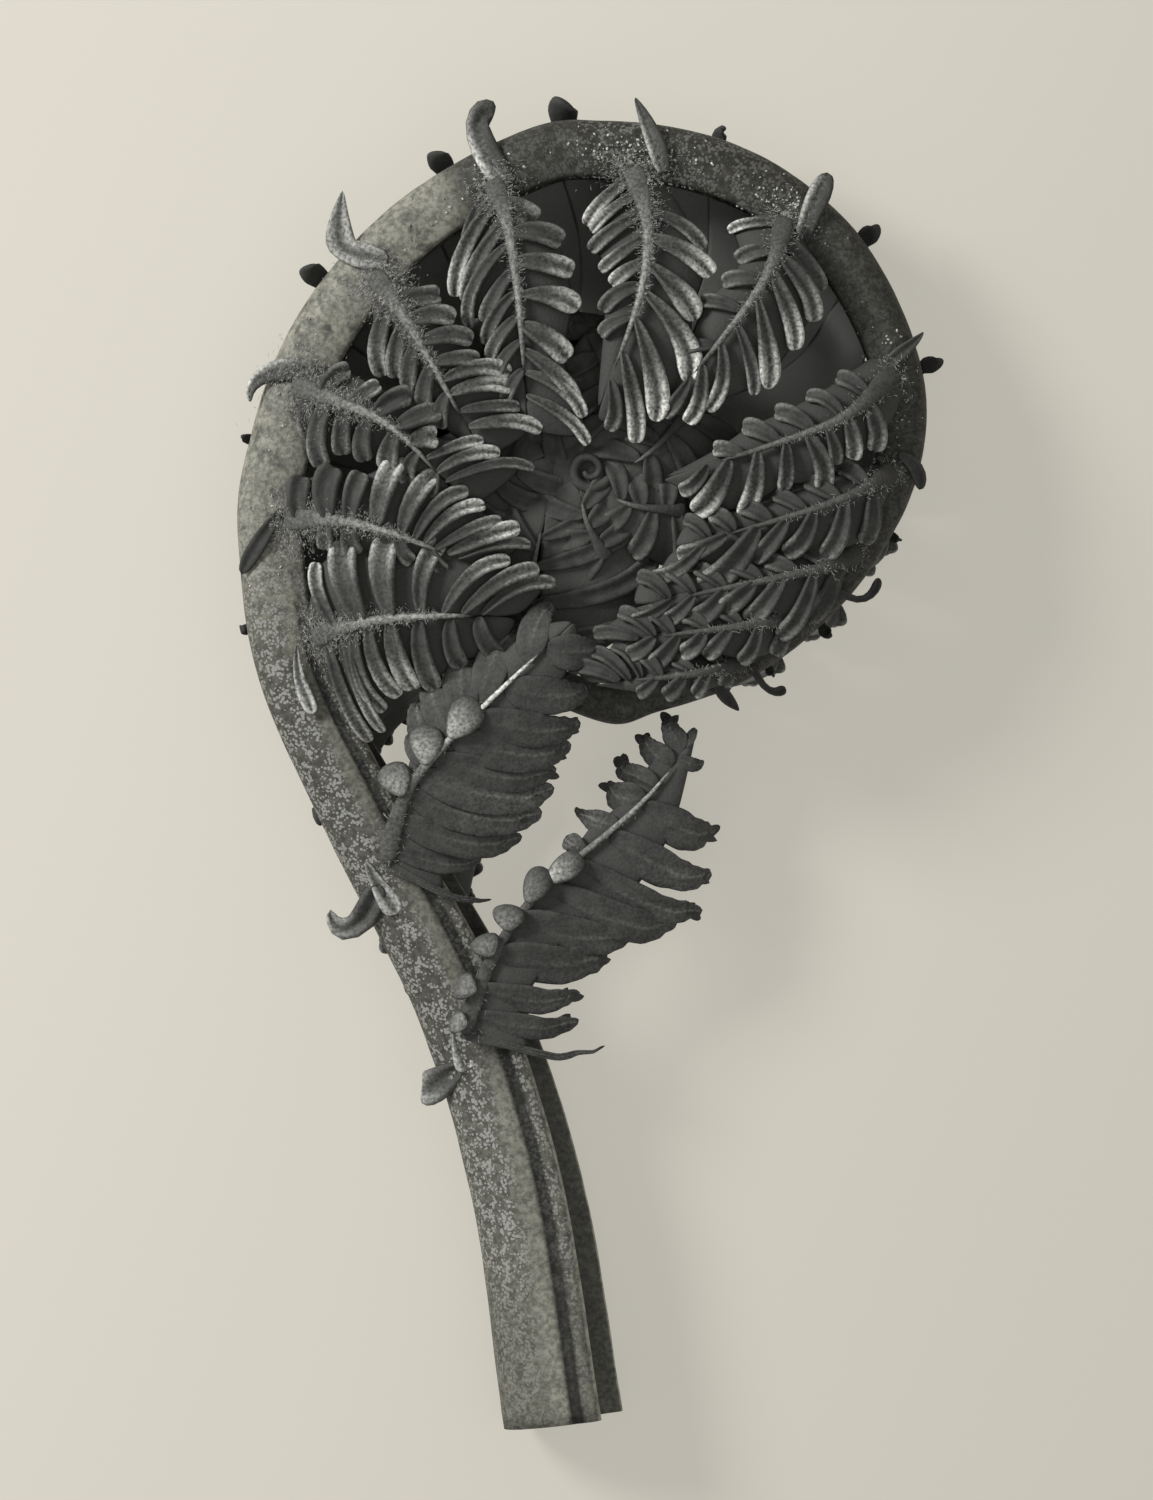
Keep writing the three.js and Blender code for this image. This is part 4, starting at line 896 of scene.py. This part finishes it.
# ---- Under side fronds ----
# The same fronds on the head's other face, one between each two of the upper ones. They are pressed
# together under the head and carry it, and only their dark hooks stand out past its rim.
LEAFLET_PITCH = 1.95
LEAN_BASE, LEAN_TIP = 104, 28
FIRST_LEAFLET, RIB_SPAN, STAGGER = 0.15, 0.82, 0.45
BUD_LENGTH, GROWTH, LEAST_LEAFLET = 0.4, 0.2, 0.9
OVERLAP = 1.4  # how much nearer to its neighbour than to its own midrib a tip may reach
KNOBS = {  # tips of the hooks past the rim, and their widths
    3: (-19.1, 7.6, 0.6), 4: (-19.25, 18.3, 0.55), 5: (-15.8, 27.55, 1.15), 6: (-8.65, 33.95, 1.15),
    7: (-1.5, 36.85, 1.5), 8: (7.45, 35.4, 0.8), 9: (16.15, 29.85, 0.95), 10: (19.65, 22.3, 0.85),
    11: (17.2, 12.55, 0.55), 12: (13.4, 7.1, 0.6), 13: (10.2, 5.0, 0.5),
}
FORE_LENGTHS = (3.6, 3.6, 3.3, 3.3, 3.0, 3.3, 3.3, 2.9, 2.5, 2.4, 2.2, 1.8)
AFT_LENGTHS = (3.6, 2.6, 3.3, 3.2, 3.0, 3.0, 2.8, 2.6, 2.3, 2.0, 1.8, 1.8)
UNDER_CLEAR = GAP + BLADE / 2 + 0.08
LOW_UNDER = [
    {
        "hook": (-10.1, -12.3), "fore": 2.4, "aft": 2.4,
        "rib": [(-9.2, -11.4, 1.7), (-9.3, -7.4, 1.2), (-8.0, -3.6, 1.2), (-5.4, -0.9, 1.5)],
    },
    {
        "hook": (-14.8, -2.9), "fore": 2.6, "aft": 0.8,
        "rib": [(-13.3, -0.9, 2.1), (-12.2, 1.7, 1.3), (-9.8, 3.9, 1.2), (-6.2, 5.3, 1.5)],
    },
]


def plan_gap(point, line):
    return min((point.xy - other.xy).length for other in line)


def grown_leaflets(rib, fore, aft, rivals, width):
    """Leaflets by rule: square to the midrib at its base, nearly along it at its tip, clear of others."""
    own = [course(rib, i / 10) for i in range(11)]
    length = sum((b - a).length for a, b in zip(own, own[1:]))
    count = max(3, round(length / LEAFLET_PITCH))
    found = []
    for hand, reach in ((1, fore), (-1, aft)):
        for i in range(count):
            share = FIRST_LEAFLET + RIB_SPAN * (i + (0 if hand > 0 else STAGGER)) / count
            way = heading(rib, share)
            way = Vector((way.x, way.y, 0)).normalized()
            lean = math.radians(LEAN_BASE + (LEAN_TIP - LEAN_BASE) * share) * hand
            way.rotate(Matrix.Rotation(lean, 3, "Z"))
            full = reach * (0.8 + 0.35 * math.sin(math.pi * share))
            root = course(rib, share)
            grown = BUD_LENGTH
            while grown < full:
                tip = root + way * (grown + GROWTH)
                if plan_gap(tip, rivals) + OVERLAP < plan_gap(tip, own):
                    break
                grown += GROWTH
            if grown >= LEAST_LEAFLET:
                tip = root + way * grown
                found.append((share, tip.x, tip.y, width, 0.3))
    return found


def mirrored(point):
    return Vector((point.x, point.y, 2 * MID - point.z))


def turned_under(verts):
    """The face is turned to the table, and rests on it."""
    for vert in verts:
        vert.co.z = max(2 * MID - vert.co.z, 0.0)


def under_hook(base, tip, bent):
    """From the midrib's base over the stem's lower flank and round its back."""
    t = nearest_on_stalk(*tip)
    over = mirrored(on_stalk(t, -0.93, 0.34, UNDER_CLEAR))
    edge = mirrored(on_stalk(t, -0.6, 0.0, UNDER_CLEAR * 0.6))
    out = Vector((*tip, 0)) - Vector((*edge.xy, 0))
    lean = UP.cross(out) * bent
    return [base, over, edge, edge + out * 0.55 - UP * 0.5, edge + out + lean - UP * 0.7]


def under_frond(number, rib, hook_tip, leaflets, hook_width):
    luck = random.Random(number)
    bm = bmesh.new()
    drawn(bm, RIB_SECTION, MIDRIB, rib, RIB_WIDTH, RIB_WIDTH * 0.8, 0.7, pale=RIB_PALE)
    lines = []
    for share, x, y, width, down in sorted(leaflets):
        hand, line = leaflet_line(rib, share, x, y, LEAFLET_DROP, 0.15, luck.uniform(0.04, 0.16))
        lines.append((hand, share, line))
        down *= luck.uniform(0.6, 1.6)
        drawn(bm, LEAFLET_SECTION, FINGER, line, width, width * LEAFLET_PLUMP, down, -0.2 * hand)
    reach = 1.2 if 3 <= number <= 9 else 0.0
    web(bm, rib, lines, 1.0, 0.45, behind=reach, spread=0.4 + 0.5 * reach)
    width = hook_width * LEAFLET_SWELL
    form, bent = (BLOCK, -0.3) if 5 <= number <= 7 else (THORN, 0.3)
    drawn(bm, RIB_SECTION, form, under_hook(rib[0], hook_tip, bent), width, width * 0.55, 0.02)
    turned_under(bm.verts)
    hair_beds.append((rib, 0.3, -1))
    node = f"pinna_back_{number:02d}"
    finished(f"side_frond_under_{number:02d}", bm, [under_leaf], [node], 1)


# Its webs are painted much lighter, as painted light that offsets the deep shade under the head.
under_leaf = leaf_material("under leaflet", 0.03, 0.18)
under = []
for i, (spec, after) in enumerate(zip(UPPER_FRONDS, UPPER_FRONDS[1:])):
    rib = [((a[0] + b[0]) / 2, (a[1] + b[1]) / 2) for a, b in zip(spec["rib"], after["rib"])]
    *tip, width = KNOBS[i + 3]
    fore, aft = (sum(lengths[i:i + 2]) / 2 for lengths in (FORE_LENGTHS, AFT_LENGTHS))
    under.append((i + 3, rib_line(rib), tip, fore, aft, width))
for number, spec in enumerate(LOW_UNDER, 1):
    rib = [mirrored(Vector(point)) for point in spec["rib"]]
    under.append((number, rib, spec["hook"], spec["fore"], spec["aft"], 1.2))
for number, rib, tip, fore, aft, width in under:
    rivals = [course(other[1], i / 10) for other in under if other[0] != number for i in range(11)]
    under_frond(number, rib, tip, grown_leaflets(rib, fore, aft, rivals, 1.35), width)

# ---- Inner side fronds ----
# The youngest ones, on the inner turns of the coil: small, dark and curled close over the eye. They grow
# from the stem as the outer ones do, on both faces, and the stem's own soft tip is rolled up among them.
INNER_COUNT = 7
INNER_PITCH = 0.62
INNER_CREST = 2.3
FOOT_REACH = 6.4  # the first one spreads over the foot of the turn
SWEEP = ((0.88, 0, 0.75), (0.68, 0.12, 0.95), (0.46, 0.3, 1), (0.28, 0.5, 1))  # way out, swing and height
BUD = pointed(*((k / 16, 1.1 - 0.5 * k / 16, 1, 0) for k in range(1, 16)), joined=0)
BUD_TURNS, BUD_PITCH, BUD_RADIUS, BUD_SHRINK = 13, 0.8, 1.25, 0.085


def rolled_tip(bm, height):
    """The stem's tip, coiled on a pad of buds."""
    turns = [(k * BUD_PITCH, BUD_RADIUS - BUD_SHRINK * k) for k in range(BUD_TURNS)]
    line = [Vector((*(EYE + Vector((math.cos(a), -math.sin(a))) * r), height - 0.3)) for a, r in turns]
    drawn(bm, RIB_SECTION, BUD, line, 0.75, 0.8, 0.0)
    pad = Matrix.Translation((*EYE, height - 0.9))
    bmesh.ops.create_cone(bm, cap_ends=True, segments=12, radius1=3.2, radius2=2.4, depth=0.8, matrix=pad)


def inner_rib(quarter):
    radius, angle = inner_turn(quarter)
    rib = []
    for share, swing, height in SWEEP:
        spot = EYE + Vector((math.cos(angle - swing), math.sin(angle - swing))) * radius * share
        rib.append(Vector((*spot, MID + INNER_CREST * height)))
    return rib


def inner_fronds(face, first, word):
    ribs = [inner_rib(first + INNER_PITCH * i) for i in range(INNER_COUNT)]
    for i, rib in enumerate(ribs):
        luck = random.Random(i)
        bm = bmesh.new()
        others = [other for other in ribs if other is not rib] if i else ribs[1:2]
        rivals = [course(other, k / 10) for other in others for k in range(11)]
        drawn(bm, RIB_SECTION, MIDRIB, rib, RIB_WIDTH * 0.7, RIB_WIDTH * 0.6, 0.12)
        lines = []
        aft = 3.2 if i else FOOT_REACH
        for share, x, y, width, _ in sorted(grown_leaflets(rib, 3.4, aft, rivals, 1.45)):
            hand, line = leaflet_line(rib, share, x, y, LEAFLET_DROP, 0.1, luck.uniform(0.05, 0.15))
            lines.append((hand, share, line))
            down = luck.uniform(0.0, 0.12)
            drawn(bm, LEAFLET_SECTION, FINGER, line, width, width * 0.35, down, -0.15 * hand)
        web(bm, rib, lines, 1.0, 0.3, 1.4)
        if i == INNER_COUNT - 1:
            rolled_tip(bm, rib[-1].z)
        if face < 0:
            turned_under(bm.verts)
        node = f"pinna_inner_{word}_{i + 1:02d}"
        finished(f"inner_frond_{word}_{i + 1:02d}", bm, [young_leaf], [node], 1)


# A little lighter than the outer leaflets: painted light that offsets the deep shade over the eye.
young_leaf = leaf_material("young leaflet", 0.036, 0.06)
inner_fronds(1, 0.15, "front")
inner_fronds(-1, 0.45, "back")

# ---- Down and scurf ----
# Short pale wool, thickest where each side frond leaves the stem and thinning out along its midrib, and
# dry flakes of scurf on the stem round the same places. Each hair is a fine tapering spine.
HAIR_LENGTH = 0.3
HAIR_RADIUS = 0.014
HAIRS = 1300  # to a midrib of full wool
DOWN_PATCH = 0.22 * MM
FLAKES = {3: 25, 4: 25, 5: 30, 6: 20, 7: 50, 8: 340, 9: 200, 10: 80, 11: 20, 12: 15}


def down_material():
    material, tree, shader = new_material("down", 0.8)
    patches, _ = mottled(tree, DOWN_PATCH, 0.36, 0.64)
    tree.links.new(mixed(tree, patches, grey(0.1), grey(0.58)), shader.inputs["Base Color"])
    return material


def pointing(way):
    return way.to_track_quat("Z", "Y").to_matrix().to_4x4()


def spine(bm, root, way, long, face):
    made = bmesh.ops.create_cone(
        bm, cap_ends=False, segments=3, radius1=HAIR_RADIUS, radius2=0.0, depth=long,
        matrix=Matrix.Translation(root + way * (long / 2 - 0.1)) @ pointing(way),
    )
    if face < 0:
        turned_under(made["verts"])


def grow_down():
    luck = random.Random(7)
    whole, tuft = bmesh.new(), bpy.data.meshes.new("tuft")
    for rib, amount, face in hair_beds:
        bm = bmesh.new()
        for _ in range(int(HAIRS * amount)):
            t = luck.random() ** 1.8 * 0.75
            spread = (0.7 + 0.6 * amount) * (1 - t) ** 2 + 0.14
            ahead = heading(rib, t)
            side = UP.cross(ahead).normalized()
            aside = luck.gauss(0, spread * 0.55)
            root = course(rib, t) + side * aside + ahead * luck.gauss(0, spread * 0.4)
            root += UP * (0.08 - min(0.5, 0.15 * aside * aside))
            way = ahead * luck.uniform(-0.3, 1) + side * luck.gauss(0, 0.8) + UP * luck.uniform(0, 0.2)
            spine(bm, root, way.normalized(), HAIR_LENGTH * luck.uniform(0.5, 1.3), face)
        bm.to_mesh(tuft)
        bm.free()
        whole.from_mesh(tuft)
    finished("midrib_down", whole, [down_material()], [])


def strew_scurf():
    luck = random.Random(11)
    bm = bmesh.new()
    for number, count in FLAKES.items():
        middle = nearest_on_stalk(*UPPER_FRONDS[number - 3]["rib"][0])
        for _ in range(count):
            t = middle + luck.gauss(0, 0.008)
            place = stalk_frame(t)
            v = min(1.0, max(0.1, luck.gauss(0.75, 0.25)))
            spot = stalk_point(place, flank_share(v), v, 0.03)
            out = (spot - stalk_point(place, 0, 0.5)).normalized()
            tilt = pointing(out) @ Matrix.Rotation(luck.uniform(0, 6), 4, "Z")
            wide, long = luck.uniform(0.03, 0.09), luck.uniform(1, 1.8)
            bmesh.ops.create_cone(
                bm, cap_ends=True, segments=5, radius1=wide, radius2=wide * 0.6, depth=0.06,
                matrix=Matrix.Translation(spot) @ tilt @ Matrix.Diagonal((long, 1, 1, 1)),
            )
    finished("stalk_scurf", bm, [down_material()], [])


grow_down()
strew_scurf()

# ---- The table, the light and the camera ----
# A pale sheet of paper under the object that glows, as painted light brighter towards the upper left and
# dimmer to the lower right, which also washes out the object's shadow. One large soft light from the upper
# left and a weak even fill. The camera looks straight down on the stem as it lies.
VIEW_CENTRE = Vector((-0.72, 0.855)) * MM
VIEW_PLANE = 7.0 * MM
VIEW_HEIGHT = 82.74 * MM
LENS, SENSOR = 200, 36
LIT_SPOT = Vector((0, 0.01, 0))


def lay_table():
    bm = bmesh.new()
    bmesh.ops.create_grid(bm, x_segments=1, y_segments=1, size=0.6)
    material, tree, shader = new_material("glowing paper", 0.9)
    shader.inputs["Base Color"].default_value = (0.2, 0.19, 0.165, 1)
    place = added(tree, "TexCoord").outputs["Object"]
    place = added(tree, "SeparateXYZ", Vector=place).outputs
    # The paper's glow is painted light: brighter towards the upper left, dimmer to the lower right.
    painted_falloff = reckoned(tree, "SUBTRACT", place["X"], times(tree, place["Y"], 0.35))
    glow = mixed(tree, stepped(tree, painted_falloff, -0.05, 0.055), (1.06, 1.015, 0.89, 1), (0.82, 0.79, 0.69, 1))
    tree.links.new(glow, shader.inputs["Emission Color"])
    shader.inputs["Emission Strength"].default_value = 0.44
    placed("table", bm, [material])


def hang_light(name, place, size, power):
    lamp = bpy.data.lights.new(name, "AREA")
    lamp.shape, lamp.size, lamp.energy = "DISK", size, power
    light = put(name, lamp)
    light.location = place
    light.rotation_euler = (LIT_SPOT - Vector(place)).to_track_quat("-Z", "Y").to_euler()


def set_camera():
    data = bpy.data.cameras.new("camera")
    data.lens, data.sensor_width = LENS, SENSOR
    data.clip_start, data.clip_end = 0.01, 5
    camera = put("camera", data)
    camera.location = (*VIEW_CENTRE, VIEW_PLANE + VIEW_HEIGHT * LENS / SENSOR)
    bpy.context.scene.camera = camera


lay_table()
hang_light("window", (-0.36, 0.22, 0.26), 0.16, 3.0)
hang_light("fill", (0.1, -0.1, 0.5), 0.5, 0.5)
world = bpy.data.worlds.new("studio")
world.use_nodes = True
world.node_tree.nodes["Background"].inputs["Color"].default_value = (1, 1, 0.98, 1)
world.node_tree.nodes["Background"].inputs["Strength"].default_value = 0.4
bpy.context.scene.world = world
bpy.context.scene.view_settings.view_transform = "Standard"
set_camera()
